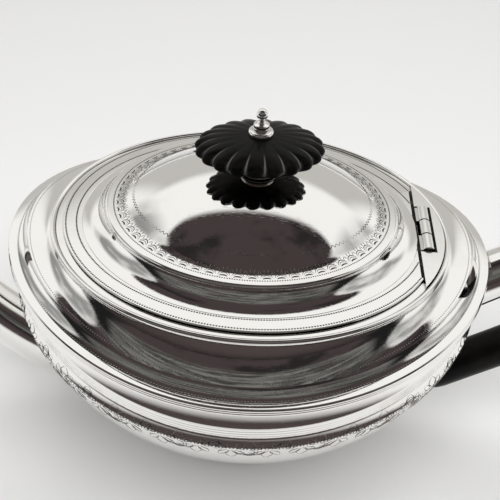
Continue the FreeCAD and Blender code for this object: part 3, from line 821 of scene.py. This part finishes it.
def refined(name, source):
    """Copy of a solid's mesh, its loose triangles merged, with hard edges left hard."""
    piece = bpy.data.objects.new(name, frame["nodes"][source].data.copy())
    call_it(piece, name)
    bpy.context.scene.collection.objects.link(piece)
    pick(piece)
    bpy.ops.object.mode_set(mode="EDIT")
    bpy.ops.mesh.select_all(action="SELECT")
    bpy.ops.mesh.remove_doubles(threshold=0.002 * MM)
    bpy.ops.mesh.dissolve_limited(angle_limit=math.radians(1))
    bpy.ops.object.mode_set(mode="OBJECT")
    bpy.ops.object.shade_smooth_by_angle(angle=math.radians(30))
    return piece


hinge_silver = polished_silver("hinge_silver", 0.0, 0.10)
for name, source in (("hinge_cheek", "hinge_plate"), ("hinge_wire", "hinge_pin")):
    fit(refined(name, source), "pot", hinge_silver, source)

# Lid
# One raised sheet with a flat flange, a cove, a rounded step and a low dome on a hollow flare.
# The handle end of the flange is sawn straight for the hinge, and a small vent hole and the
# hole for the finial's screw are drilled in the dome.
LID_R = 56.3
LID_COVE_R = 50.5
LID_STEP_R = 43.9
LID_STEP_H = 4.6
LID_STEP_ROUND = 1.3
LID_COVE_HOLLOW = 0.13
CREASE = 0.14
DOME_R = 40.6
DOME_H = 12.4
DOME_FLARE_R = 6.5
DOME_STEPS = 60
FINIAL_X = 1.1
SCREW_R = 1.2
VENT_R = 1.0
VENT = (-18.5, 14.6)
HINGE_CHORD = 3.1
lid_silver = polished_silver("lid_silver", 0.022, 0.014)
step_top = LID_Z + LID_STEP_H + LID_STEP_ROUND
dome_top = step_top + DOME_H
both_r = (DOME_R ** 2 + DOME_H ** 2) / (2 * DOME_H)
dome_sphere = both_r - DOME_FLARE_R
flare_start = DOME_R * dome_sphere / both_r
hole_r = SCREW_R + SEAM


def dome_height(radius):
    """Height of the dome's outside at a radius: round, then the hollow flare, then the level step."""
    if radius < flare_start:
        return dome_top - dome_sphere + math.sqrt(dome_sphere ** 2 - radius ** 2)
    inward = max(DOME_R - radius, 0.0)
    return step_top + DOME_FLARE_R - math.sqrt(DOME_FLARE_R ** 2 - inward ** 2)


def lid_ring(radius, z):
    """Corner of the level lid."""
    return Vector((radius, z, 0, MOUTH_OVAL))


def curve_between(start, end, steps):
    """Quarter curve between two corners, upright at the start and level at the end."""
    corners = []
    for step in range(steps + 1):
        turn = 0.5 * math.pi * step / steps
        share = Vector((1 - math.cos(turn), math.sin(turn), math.sin(turn), math.sin(turn)))
        corners.append(Vector(a + (b - a) * s for a, b, s in zip(start, end, share)))
    return corners


dome_line = [lid_ring(DOME_R * step / DOME_STEPS, dome_height(DOME_R * step / DOME_STEPS))
             for step in range(DOME_STEPS + 1)]
step_line = curve_between(
    lid_ring(LID_STEP_R, LID_Z + LID_STEP_H), lid_ring(LID_STEP_R - LID_STEP_ROUND, step_top), 8)
cove_line = hollow_between(
    lid_ring(LID_STEP_R, LID_Z + LID_STEP_H), lid_ring(LID_COVE_R, LID_Z), LID_COVE_HOLLOW, COVE_STEPS)
flange_line = [lid_ring(LID_COVE_R + CREASE, LID_Z - CREASE), lid_ring(LID_COVE_R + 2 * CREASE, LID_Z)]
flange_line += [lid_ring(LID_R, LID_Z), lid_ring(LID_R, lid_under)]
lid_outside = dome_line + step_line[::-1][:-1] + cove_line
lid_inside = [corner - Vector((SHEET, SHEET, 0, 0)) for corner in cove_line[::-2]]
lid_inside += [lid_ring(LID_STEP_R - LID_STEP_ROUND - SHEET, step_top - SHEET)]
lid_inside += [corner - Vector((0, SHEET, 0, 0)) for corner in dome_line[::-2]]
lid_line = lid_outside + flange_line + lid_inside
lid = turned("raised_lid", eased(lid_line, 0.22, sharp=50))
chord_x = HINGE_X - HINGE_CHORD
cut_away(lid, block((chord_x, MOUTH_R), (-MOUTH_R, MOUTH_R), (lid_under - 1, LID_Z + 1)))
cut_away(lid, drill(VENT_R, (*VENT, LID_Z), (*VENT, dome_top)))
cut_away(lid, drill(hole_r, (FINIAL_X, 0, step_top), (FINIAL_X, 0, dome_top + SHEET)))
fit(lid, "lid", lid_silver, "lid")

# Lid ornament
# Two rows of punched dots on the flange, one at the foot of the dome, a border of engraved
# scallops inside that, and a wriggled line higher up the dome, all set out by hand.
FLANGE_ROWS = ((55.5, MOUTH_OVAL), (52.4, 0.842))
FLANGE_DOT_COUNT = 440
FLANGE_DOT_R = 0.32
DOME_DOT_R = 41.1
DOME_DOT_COUNT = 380
SCALLOPS = 64
SCALLOP_R = 40.5
SCALLOP_DEPTH = 2.3
EDGE_STROKE = (0.5, 0.08)
HEART_STROKE = (1.0, 0.06)
WRIGGLE_R = 35.3
WRIGGLE_DRIFT = 2.0
WRIGGLE_CUTS = 10
WRIGGLE_WAVES = 14
WRIGGLE_SWING = 0.33
WRIGGLE_POINTS = 8
WRIGGLE_STROKE = (0.34, 0.08)
DARKENED = (0.045, 0.042, 0.038, 1.0)
RUBBED = (0.16, 0.15, 0.13, 1.0)


def dull_finish(name, grain, dark, worn, worn_at, rough, metallic, specular):
    """Dull dark finish, worn lighter here and there: a crust at the bottom of marks, and painted shade
    with some tarnish in the hinge's joints.
    """
    material, tree, face, place = new_finish(name)
    wear = noise(tree, place, grain, 3.0)
    plug(tree, face, {
        "Base Color": blend(tree, ramp(tree, wear, *worn_at), dark, worn),
        "Roughness": ramp(tree, wear, 0.3, 0.7, *rough),
        "Metallic": metallic, "Specular IOR Level": specular})
    return material


mark_silver = dull_finish(
    "darkened_silver", 900.0, DARKENED, RUBBED, (0.4, 0.8), (0.35, 0.6), metallic=0.6, specular=0.5)


def dome_surface(turn, radius):
    """Point on the dome."""
    return swept_ring(lid_ring(radius, dome_height(radius)), turn)


def flange_row(oval):
    """Surface of the lid's flange for a row of dots with its own oval."""
    def surface(turn, radius):
        return swept_ring(Vector((radius, LID_Z, 0, oval)), turn)
    return surface


for row, (radius, oval) in enumerate(FLANGE_ROWS):
    flange_dots = dots_on(
        f"flange_dots_{row + 1}", flange_row(oval), radius, FLANGE_DOT_COUNT, FLANGE_DOT_R,
        end_x=chord_x - 2 * FLANGE_DOT_R)
    fit(flange_dots, "lid", mark_silver)
dome_dots = dots_on("dome_dots", dome_surface, DOME_DOT_R, DOME_DOT_COUNT)
fit(dome_dots, "lid", mark_silver)

scallop_lines = []
edge_lines = []
heart_lines = []
unit = 2 * math.pi / SCALLOPS
for scallop in range(SCALLOPS):
    u = unit * (scallop + 0.5)
    middle = (u, SCALLOP_R)
    edge_lines.append(arc_line(middle, (0.46 * unit, -SCALLOP_DEPTH), 8, 172, 11))
    scallop_lines.append(arc_line(middle, (0.36 * unit, -0.72 * SCALLOP_DEPTH), 15, 165, 9))
    heart_lines.append(arc_line(middle, (0.30 * unit, -0.30 * SCALLOP_DEPTH), 5, 175, 9))
    for lean in (-0.34, -0.12, 0.12, 0.34):
        root = (u + lean * unit, SCALLOP_R - SCALLOP_DEPTH * (1.12 - abs(lean)))
        tip = (u + 1.4 * lean * unit, SCALLOP_R - SCALLOP_DEPTH * (1.65 - abs(lean)))
        scallop_lines.append(straight_line(root, tip, points=5))
scallops = strokes_on("dome_scallops", dome_surface, scallop_lines)
fit(scallops, "lid", cut_silver)
scallop_edges = strokes_on("scallop_edges", dome_surface, edge_lines, *EDGE_STROKE)
fit(scallop_edges, "lid", mark_silver)
scallop_hearts = strokes_on("scallop_hearts", dome_surface, heart_lines, *HEART_STROKE)
fit(scallop_hearts, "lid", mark_silver)

wriggle_lines = []
for cut in range(WRIGGLE_CUTS):
    line = []
    for step in range(WRIGGLE_POINTS * WRIGGLE_WAVES + 1):
        phase = cut * WRIGGLE_WAVES + step / WRIGGLE_POINTS
        turn = 2 * math.pi * phase / (WRIGGLE_CUTS * WRIGGLE_WAVES)
        swing = WRIGGLE_SWING * math.sin(2 * math.pi * phase)
        line.append((turn, WRIGGLE_R + swing - WRIGGLE_DRIFT * math.sin(turn) ** 2))
    wriggle_lines.append(line)
wriggles = strokes_on("dome_wriggle", dome_surface, wriggle_lines, *WRIGGLE_STROKE)
fit(wriggles, "lid", mark_silver)

# Lid bezel
# A strip soldered under the flange. It drops inside the ledge and keeps the lid from sliding,
# and stops short of the hinge.
BEZEL_CLEARANCE = 0.6
BEZEL_H = 4.0
LEAF_L = 3.6
bezel_r = ledge_inner - BEZEL_CLEARANCE
bezel_top = lid_under - SEAM
bezel_line = [
    (bezel_r - SHEET, bezel_top - BEZEL_H),
    (bezel_r, bezel_top - BEZEL_H),
    (bezel_r, bezel_top),
    (bezel_r - SHEET, bezel_top)]
lid_bezel = turned("lid_rim_strip", eased(ring_corners(bezel_line, MOUTH_OVAL), EDGE))
bezel_end = chord_x - LEAF_L - 2 * SHEET
cut_away(lid_bezel, block((bezel_end, MOUTH_R), (-MOUTH_R, MOUTH_R), (bezel_top - 2 * BEZEL_H, LID_Z)))
fit(lid_bezel, "lid", body_silver, "lid_bezel")

# Hinge on the lid
# A leaf of silver soldered under the straight edge of the lid. Its end is rolled into the two
# outer knuckles, which turn on the pin.
fit(refined("hinge_leaf", "lid_leaf"), "lid", hinge_silver, "lid_leaf")

# Hinge shade and tarnish
# Near-black strips of painted shade with a little tarnish, in the joint along the lid's straight
# edge, between the knuckles and round the pocket they turn in, where the gaps fall into shade.
EDGE_HALF_L = 21.4
EDGE_STRIP_W = 0.42
EDGE_STRIP_DEPTH = 0.5
STRIP_W = 0.5
STRIP_DEPTH = 0.6
STRIP_PROUD = 0.03
BARREL_R = 1.9
BARREL_GAP = 0.02
CHEEK_START = 0.7
KNUCKLE_STRIP = 0.22
CHEEK_STRIP = 0.4
# Colours of the painted shade in the hinge's gaps, with a little tarnish.
GAP_SHADE_AND_TARNISH = (0.006, 0.006, 0.005, 1.0)
GAP_SHADE_AND_TARNISH_WORN = (0.05, 0.047, 0.04, 1.0)
shade_and_tarnish_finish = dull_finish(
    "gap_shade_and_tarnish_finish", 420.0, GAP_SHADE_AND_TARNISH, GAP_SHADE_AND_TARNISH_WORN, (0.5, 0.75), (0.6, 0.85), metallic=0.0, specular=0.12)


def shade_and_tarnish_strip(name, body, x, y, z):
    """Strip of painted shade and tarnish between the two ends given for each axis."""
    strip = block(x, y, z)
    call_it(strip, name)
    bpy.ops.object.transform_apply()
    fit(strip, body, shade_and_tarnish_finish)


proud_z = LID_Z + STRIP_PROUD
edge_x = (chord_x - EDGE_STRIP_W, chord_x + STRIP_W)
shade_and_tarnish_strip("edge_shade_and_tarnish", "lid", edge_x, (-EDGE_HALF_L, EDGE_HALF_L), (LID_Z - EDGE_STRIP_DEPTH, proud_z))
slot_x = HINGE_X + BARREL_R
slot_z = (LID_Z - STRIP_DEPTH, proud_z)
shade_and_tarnish_strip("slot_shade_and_tarnish", "pot", (slot_x + BARREL_GAP, slot_x + STRIP_W), pocket_y, slot_z)
cheek_x = (chord_x + CHEEK_START, slot_x + STRIP_W)
for side, pocket_end in zip(("front", "back"), pocket_y):
    outer = pocket_end + (CHEEK_STRIP if pocket_end > HINGE_Y else -CHEEK_STRIP)
    shade_and_tarnish_strip("cheek_shade_and_tarnish_" + side, "pot", cheek_x, sorted((pocket_end, outer)), slot_z)
for number, joint_y in enumerate((HINGE_Y - KNUCKLE_L / 2, HINGE_Y + KNUCKLE_L / 2)):
    ends = [(HINGE_X, joint_y + side * KNUCKLE_STRIP, HINGE_Z) for side in (-1, 1)]
    ring = drill(BARREL_R + STRIP_PROUD, *ends, sides=40)
    call_it(ring, f"knuckle_shade_and_tarnish_{number + 1}")
    bpy.ops.object.transform_apply()
    fit(ring, "pot", shade_and_tarnish_finish)

# Finial collar
# A turned silver spool between the dome and the button, with a narrow waist. Like the rest of
# the finial it stands a little off the middle of the lid, toward the handle.
COLLAR_H = 4.15
COLLAR_R = 6.0
COLLAR_WAIST_R = 4.8
COLLAR_TOP_R = 5.4
COLLAR_EDGE_H = 0.8
UNDER_BUTTON_SHADE = (0.30, 0.28, 0.25, 1.0)
SMALL_TURN = 64
collar_bottom = dome_top + SEAM
collar_top = dome_top + COLLAR_H
collar_drop = (COLLAR_R - FINIAL_X) ** 2 / (2 * dome_sphere)


def on_the_screw(piece):
    """Piece moved from the middle of the lid on to the line of the screw."""
    move_to(piece, places_of(piece) + np.array((FINIAL_X, 0, 0)))
    return piece


collar_line = [
    (hole_r, collar_bottom),
    (COLLAR_R, collar_bottom - collar_drop + 2 * SEAM)]
collar_line += arc_through(
    (COLLAR_R, collar_bottom + COLLAR_EDGE_H),
    (COLLAR_WAIST_R, 0.5 * (collar_bottom + collar_top)),
    (COLLAR_TOP_R, collar_top - COLLAR_EDGE_H), 16)
collar_line += [(COLLAR_TOP_R, collar_top), (hole_r, collar_top)]
# The collar's silver is darkened as painted shade, for the shade under the black button.
shaded_collar_silver = polished_silver("shaded_collar_silver", 0.0, 0.05, UNDER_BUTTON_SHADE)
collar_rings = eased(ring_corners(collar_line, 1.0), 0.3, sharp=40)
finial_collar = turned("turned_collar", collar_rings, SMALL_TURN)
fit(on_the_screw(finial_collar), "lid", shaded_collar_silver, "finial_collar")

# Finial button
# An oval button carved from ebony into rounded lobes with a notch between each two, drawn in
# to the screw on top and to the collar below. It has worked round a little on its screw, and
# its notches are coloured light grey as a painted highlight along them.
BUTTON_R = 18.7
BUTTON_OVAL = 0.74
BUTTON_H = 7.4
BUTTON_LOBES = 20
BUTTON_FLUTE = 0.09
BUTTON_TURN = math.radians(9)
LOBE_STEPS = 14
BUTTON_SECTION = [
    (0.42, 0.0, 0.0),
    (0.78, 0.03, 0.5),
    (0.95, 0.17, 1.0),
    (1.0, 0.36, 1.0),
    (0.97, 0.55, 1.0),
    (0.85, 0.74, 0.9),
    (0.6, 0.9, 0.7),
    (0.25, 1.0, 0.4),
]
EBONY = (0.002, 0.002, 0.002, 1.0)
EBONY_GRAIN = (0.009, 0.008, 0.007, 1.0)
NOTCH_HIGHLIGHT = (0.16, 0.155, 0.15, 1.0)
NOTCH_HIGHLIGHT_FROM = 0.75
GRAIN_SCALE = 260.0
GRAIN_SPAN = (0.35, 0.8)
GRAIN_DULLS = 0.14
PORE_SCALE = 1500.0
PORE_SPAN = (0.62, 0.74)
PORE_DULLS = 0.15
PORE_DEPTH = 0.03


def waxed_ebony(name, stretch, gloss):
    """Close black wood, oiled and rubbed: dark grain, open pores and a painted grey highlight in the
    notches.
    """
    material, tree, face, place = new_finish(name)
    grain_place = node(tree, "ShaderNodeMapping", {"Vector": place, "Scale": stretch}).outputs["Vector"]
    grain = noise(tree, grain_place, GRAIN_SCALE, 6.0, 0.65, 0.4)
    pores = ramp(tree, noise(tree, grain_place, PORE_SCALE, 2.0), *PORE_SPAN)
    tint = blend(tree, ramp(tree, grain, *GRAIN_SPAN), EBONY, EBONY_GRAIN)
    notch_light = node(tree, "ShaderNodeAttribute", attribute_name="notch").outputs["Fac"]
    grained = ramp(tree, grain, 0.2, 0.8, gloss, gloss + GRAIN_DULLS)
    rough = calc(tree, "ADD", grained, ramp(tree, pores, 0.0, 1.0, 0.0, PORE_DULLS))
    bump = node(tree, "ShaderNodeBump", {
        "Strength": 0.5, "Distance": PORE_DEPTH * MM, "Height": pores}, invert=True)
    plug(tree, face, {
        "Base Color": blend(tree, notch_light, tint, NOTCH_HIGHLIGHT), "Roughness": rough,
        "Normal": bump.outputs["Normal"], "Specular IOR Level": 0.10})
    return material


button_ebony = waxed_ebony("button_ebony", (0.25, 1.0, 1.0), 0.24)
button_bottom = collar_top + SEAM
section = smooth_stations([row + (0.0,) for row in BUTTON_SECTION], 4)
button_rows = [(BUTTON_R * reach, button_bottom + BUTTON_H * rise) for reach, rise, _, _ in section]
button_rows += [(hole_r, button_bottom + BUTTON_H), (hole_r, button_bottom)]
button = turned("carved_button", ring_corners(button_rows, 1.0), BUTTON_LOBES * LOBE_STEPS)
flutes = np.array([BUTTON_FLUTE * flute for _, _, flute, _ in section] + [0.0, 0.0])
places = places_of(button)
turn = np.arctan2(places[:, 1], places[:, 0])
notch = 1 - np.abs(np.sin(BUTTON_LOBES * turn / 2))
carved = flutes[nearest_corner(places, np.array(button_rows))] * notch
places[:, 0] *= 1 - carved
places[:, 1] *= (1 - carved) * BUTTON_OVAL
long_way, short_way = places[:, 0].copy(), places[:, 1].copy()
places[:, 0] = long_way * math.cos(BUTTON_TURN) - short_way * math.sin(BUTTON_TURN)
places[:, 1] = long_way * math.sin(BUTTON_TURN) + short_way * math.cos(BUTTON_TURN)
move_to(button, places)
bpy.ops.object.shade_smooth_by_angle(angle=math.radians(50))
# The notches get a light grey colour: a painted highlight along them.
highlight_attribute = button.data.attributes.new("notch", "FLOAT", "POINT")
highlight_share = (carved / BUTTON_FLUTE - NOTCH_HIGHLIGHT_FROM) / (1 - NOTCH_HIGHLIGHT_FROM)
highlight_attribute.data.foreach_set("value", np.clip(highlight_share, 0, 1))
fit(on_the_screw(button), "lid", button_ebony, "finial_button", slot="ebony")

# Finial washer, screw and nut
# A stepped silver washer on the button, a ball-headed screw down through button, collar and
# dome, and the six-sided nut that draws them together under the dome.
WASHER_R = 3.6
WASHER_H = 1.5
WASHER_STEP_R = 2.35
WASHER_STEP_H = 0.9
WASHER_ROUND = (0.93, 0.85)
SCREW_NECK_H = 3.9
BALL_R = 1.65
NECK_R_TOP = 0.95
NUT_H = 2.2
SCREW_TAIL = 1.2
BALL_STEPS = 14
washer_bottom = button_bottom + BUTTON_H + SEAM
washer_step = washer_bottom + WASHER_H
washer_top = washer_step + WASHER_STEP_H
washer_side = washer_bottom + WASHER_H / 2
washer_line = [(hole_r, washer_bottom), (WASHER_R, washer_bottom), (WASHER_R, washer_side)]
washer_line += arc_through(
    (WASHER_R, washer_side), (WASHER_ROUND[0] * WASHER_R, washer_bottom + WASHER_ROUND[1] * WASHER_H),
    (WASHER_STEP_R + 0.15, washer_step), 8)[1:]
washer_line += [(WASHER_STEP_R, washer_step), (WASHER_STEP_R, washer_top), (hole_r, washer_top)]
washer = turned("stepped_washer", eased(ring_corners(washer_line, 1.0), 0.22, sharp=40), SMALL_TURN)
fit(on_the_screw(washer), "lid", lid_silver, "finial_washer")

screw_head = washer_top + SEAM
ball_z = screw_head + SCREW_NECK_H
head_r = WASHER_STEP_R - 2 * SEAM
nut_bottom = dome_top - SHEET - SEAM - NUT_H
ball_start = math.asin(NECK_R_TOP / BALL_R)
screw_line = [(0, nut_bottom - SCREW_TAIL), (SCREW_R, nut_bottom - SCREW_TAIL), (SCREW_R, screw_head)]
screw_line += [(head_r, screw_head), (head_r, screw_head + SCREW_NECK_H / 5)]
screw_line += arc_through(
    (head_r - 0.3, screw_head + SCREW_NECK_H / 4),
    (NECK_R_TOP + 0.15, screw_head + 0.32 * SCREW_NECK_H),
    (NECK_R_TOP, ball_z - BALL_R * math.cos(ball_start)), 6)
for step in range(1, BALL_STEPS + 1):
    angle = ball_start + (math.pi - ball_start) * step / BALL_STEPS
    screw_line.append((BALL_R * math.sin(angle), ball_z - BALL_R * math.cos(angle)))
screw = turned("ball_screw", eased(ring_corners(screw_line, 1.0), 0.12, sharp=50), SMALL_TURN)
fit(on_the_screw(screw), "lid", lid_silver, "finial_screw")
fit(refined("screw_nut", "finial_nut"), "lid", hinge_silver, "finial_nut")

# Handle
# An ebony loop sawn and rasped to an oval section, with a peg at each end that is glued and
# pinned into its socket. Its line follows the stations of the two sockets out into the loop.
HANDLE_R = 6.7
HANDLE_WIDTH = 0.92
HANDLE_LEAD = 4.0
HANDLE_LOOP = [
    (97.4, 79.8),
    (107.6, 83.6),
    (116.4, 79.8),
    (119.8, 70.2),
    (115.8, 59.2),
    (106.6, 50.6),
    (96.5, 43.2),
    (86.2, 35.7),
    (77.6, 29.6),
    (70.4, 24.4),
]


def socket_mouth(stations):
    """Middle of a socket's mouth and the direction it opens in."""
    last, end = smooth_stations(stations, 8)[-2:]
    return end.to_2d(), (end - last).to_2d().normalized()


upper_mouth, upper_out = socket_mouth(UPPER_STATIONS)
lower_mouth, lower_out = socket_mouth(LOWER_STATIONS)
handle_points = [upper_mouth + upper_out * SEAM, upper_mouth + upper_out * HANDLE_LEAD]
handle_points += [Vector(point) for point in HANDLE_LOOP]
handle_points += [lower_mouth + lower_out * HANDLE_LEAD, lower_mouth + lower_out * SEAM]
handle_line = smooth_stations([(p.x, p.y, HANDLE_R, HANDLE_R * HANDLE_WIDTH) for p in handle_points], 6)
handle = swept("ebony_loop", handle_line)
handle_ebony = waxed_ebony("handle_ebony", (0.3, 1.0, 0.3), 0.32)
fit(handle, "pot", handle_ebony, "handle", slot="ebony")

# Handle rivets
# A silver pin through each socket and peg, which holds the handle. It is cut from wire, driven
# through and filed off with a slightly domed head.
RIVET_R = 1.0
SOCKET_BORE_L = 8.0
RIVET_DOME = 0.25
for name, stations in (("upper_rivet", UPPER_STATIONS), ("lower_rivet", LOWER_STATIONS)):
    mouth, out = socket_mouth(stations)
    at = mouth - out * (SOCKET_BORE_L / 2)
    half = stations[-1][3]
    turns = np.linspace(0, math.pi / 2, 6)
    dome = [(RIVET_R * math.cos(t), half + RIVET_DOME * math.sin(t)) for t in turns]
    rivet_line = dome + [(radius, -z) for radius, z in dome[::-1]]
    rivet = turned(name + "_pin", ring_corners(rivet_line, 1.0), 24)
    bpy.ops.transform.rotate(value=math.pi / 2, orient_axis="X", center_override=(0, 0, 0))
    bpy.ops.transform.translate(value=(at.x * MM, 0, at.y * MM))
    bpy.ops.object.transform_apply()
    fit(rivet, "pot", hinge_silver, name)

# Stage
# A pale table and plain soft light. The room is white above and behind and grey at the sides. On
# the camera's side a dark cloth hangs and covers the table's front, but it shows only in the
# silver, which gets its dark bands from it.
FLOOR_SIZE = 6.0
FLOOR_COLOUR = (0.86, 0.86, 0.855, 1.0)
FLOOR_MOTTLE = (0.85, 0.85, 0.845, 1.0)
FLOOR_CLOTH = (-0.20, -0.09)
ROOM = (0.95, 0.95, 0.93, 1.0)
ROOM_SIDE = (0.30, 0.30, 0.29, 1.0)
ROOM_BACK = (0.54, 0.53, 0.505, 1.0)
CLOTH = (0.060, 0.047, 0.047, 1.0)
CLOTH_LIT = (0.190, 0.188, 0.175, 1.0)
CLOTH_SHADE = (0.055, 0.054, 0.050, 1.0)
CLOTH_EDGE = (0.014, 0.014, 0.014, 1.0)
PALE = (0.80, 0.80, 0.80, 1.0)
CLOTH_NARROWS = (18, 72)
CLOTH_HALF_WIDTH = (0.99, 0.66)
CLOTH_TOP = (101, 107)
CLOTH_HEM = (-100, -90)
CLOTH_FEATHER = (0.96, 1.04)
CLOTH_SIDE = (0.78, 0.88)
CLOTH_SIDE_TOP = (42, 56)
LIT_FROM = (10, 16)
LIT_TO = (48, 60)
BESIDE_FROM = (0.62, 0.78)
BESIDE_TO = (0.93, 0.985)
BESIDE_TOP = (136, 154)
BEHIND_FROM = (139, 148)
BEHIND_SIDE = (0.52, 0.68)
CORNER_POWER = 8.0
CORNER_DROP = 0.2
FOLD_SCALE = 3.0
STREAK_STRETCH = 6.0
LAMPS = (((0.1, 0.45, 0.9), 2.3), ((0.05, -0.45, 0.9), 7.0))
LAMP_SIZE = 0.9
LAMP_AIM = Vector((0, 0, 0.05))
bpy.ops.object.select_all(action="DESELECT")
bpy.ops.mesh.primitive_plane_add(size=FLOOR_SIZE, location=(0, 0, 0))
table = bpy.context.object
table.name = "pale_table"
table_paint, paint, paint_face, paint_place = new_finish("table_paint")
paint_front = node(paint, "ShaderNodeSeparateXYZ", {"Vector": paint_place}).outputs["Y"]
mottle = noise(paint, paint_place, 30.0, 4.0)
mirrored = node(paint, "ShaderNodeLightPath").outputs["Is Glossy Ray"]
in_cloth = calc(paint, "MULTIPLY", mirrored, ramp(paint, paint_front, *FLOOR_CLOTH, 1.0, 0.0))
plug(paint, paint_face, {
    "Base Color": blend(paint, in_cloth, blend(paint, mottle, FLOOR_COLOUR, FLOOR_MOTTLE), CLOTH),
    "Roughness": 0.85, "Specular IOR Level": 0.1})
table.data.materials.append(table_paint)

room = bpy.data.worlds.new("soft_room")
bpy.context.scene.world = room
room.use_nodes = True
air = room.node_tree
air.nodes.clear()
looking = node(air, "ShaderNodeTexCoord").outputs["Generated"]
ray = node(air, "ShaderNodeSeparateXYZ", {"Vector": looking}).outputs
climb = calc(air, "ARCTAN2", ray["Z"], calc(air, "MULTIPLY", ray["Y"], -1.0))


def climb_ramp(low, high, start=0.0, end=1.0, value=climb):
    """Step between two angles measured from level in front, up over the pot and down behind it."""
    return ramp(air, value, math.radians(low), math.radians(high), start, end)


def times(*values):
    """Product of several values of the room."""
    return calc(air, "MULTIPLY", *values)


aside = node(air, "ShaderNodeMath", {0: ray["X"]}, operation="ABSOLUTE").outputs[0]
across = calc(air, "DIVIDE", aside, climb_ramp(*CLOTH_NARROWS, *CLOTH_HALF_WIDTH))
crown = calc(air, "ADD", times(calc(air, "POWER", across, CORNER_POWER), CORNER_DROP), climb)
in_front = times(
    ramp(air, across, *CLOTH_FEATHER, 1.0, 0.0), climb_ramp(*CLOTH_HEM),
    climb_ramp(*CLOTH_TOP, 1.0, 0.0, crown))
folds = noise(air, looking, FOLD_SCALE, 3.0)
beside = times(
    ramp(air, aside, *BESIDE_FROM), ramp(air, aside, *BESIDE_TO, 1.0, 0.0),
    climb_ramp(*BESIDE_TOP, 1.0, 0.0), ramp(air, folds, 0.30, 0.55, 0.35, 1.0))
behind = times(climb_ramp(*BEHIND_FROM), ramp(air, aside, *BEHIND_SIDE, 1.0, 0.0))
streak_place = node(air, "ShaderNodeCombineXYZ", {"X": ray["X"], "Y": times(climb, STREAK_STRETCH)})
streaks = noise(air, streak_place.outputs["Vector"], FOLD_SCALE, 3.0)
lit_cloth = blend(air, ramp(air, streaks, 0.40, 0.62), CLOTH_SHADE, CLOTH_LIT)
dark_cloth = blend(air, ramp(air, folds, 0.50, 0.66, 0.0, 0.8), CLOTH, CLOTH_EDGE)
lit_part = times(climb_ramp(*LIT_FROM), climb_ramp(*LIT_TO, 1.0, 0.0))
side_part = times(ramp(air, across, *CLOTH_SIDE), climb_ramp(*CLOTH_SIDE_TOP, 1.0, 0.0))
cloth = blend(air, side_part, blend(air, lit_part, dark_cloth, lit_cloth), CLOTH_EDGE)
light = blend(air, beside, ROOM, ROOM_SIDE)
light = blend(air, behind, light, ROOM_BACK)
light = blend(air, in_front, light, cloth)
light = blend(air, node(air, "ShaderNodeLightPath").outputs["Is Camera Ray"], light, PALE)
glow = node(air, "ShaderNodeBackground", {"Color": light, "Strength": 1.0})
node(air, "ShaderNodeOutputWorld", {"Surface": glow.outputs["Background"]})

for spot, power in LAMPS:
    bpy.ops.object.light_add(type="AREA", location=spot)
    lamp = bpy.context.object
    lamp.data.shape = "DISK"
    lamp.data.size = LAMP_SIZE
    lamp.data.energy = power
    lamp.rotation_euler = (LAMP_AIM - lamp.location).to_track_quat("-Z", "Y").to_euler()
    lamp.visible_glossy = False

# Camera
# At the photograph's place: looking down on the lid from the front, turned and rolled a little.
# Its lens is given in pixels of a square frame, and its distance is measured from the pot's middle.
LENS_PX = 850.0
IMAGE_PX = 500.0
SENSOR = 36.0
LOOK_AT = Vector((0.335, 0.0045, 68.183)) * MM
DISTANCE = 265.607 * MM
ELEVATION = math.radians(39.0)
AZIMUTH = math.radians(0.773)
ROLL = math.radians(4.067)
level = math.cos(ELEVATION)
back = Vector((math.sin(AZIMUTH) * level, -math.cos(AZIMUTH) * level, math.sin(ELEVATION)))
right = Vector((math.cos(AZIMUTH), math.sin(AZIMUTH), 0))
upward = back.cross(right)
right_rolled = right * math.cos(ROLL) + upward * math.sin(ROLL)
up_rolled = upward * math.cos(ROLL) - right * math.sin(ROLL)
camera = bpy.data.objects.new("camera", bpy.data.cameras.new("camera"))
bpy.context.scene.collection.objects.link(camera)
camera.data.sensor_width = SENSOR
camera.data.lens = LENS_PX / IMAGE_PX * SENSOR
camera.data.clip_start = 0.01
turn_to = Matrix((right_rolled, up_rolled, back)).transposed().to_4x4()
camera.matrix_world = Matrix.Translation(LOOK_AT + back * DISTANCE) @ turn_to
bpy.context.scene.camera = camera
bpy.context.scene.view_settings.view_transform = "Standard"
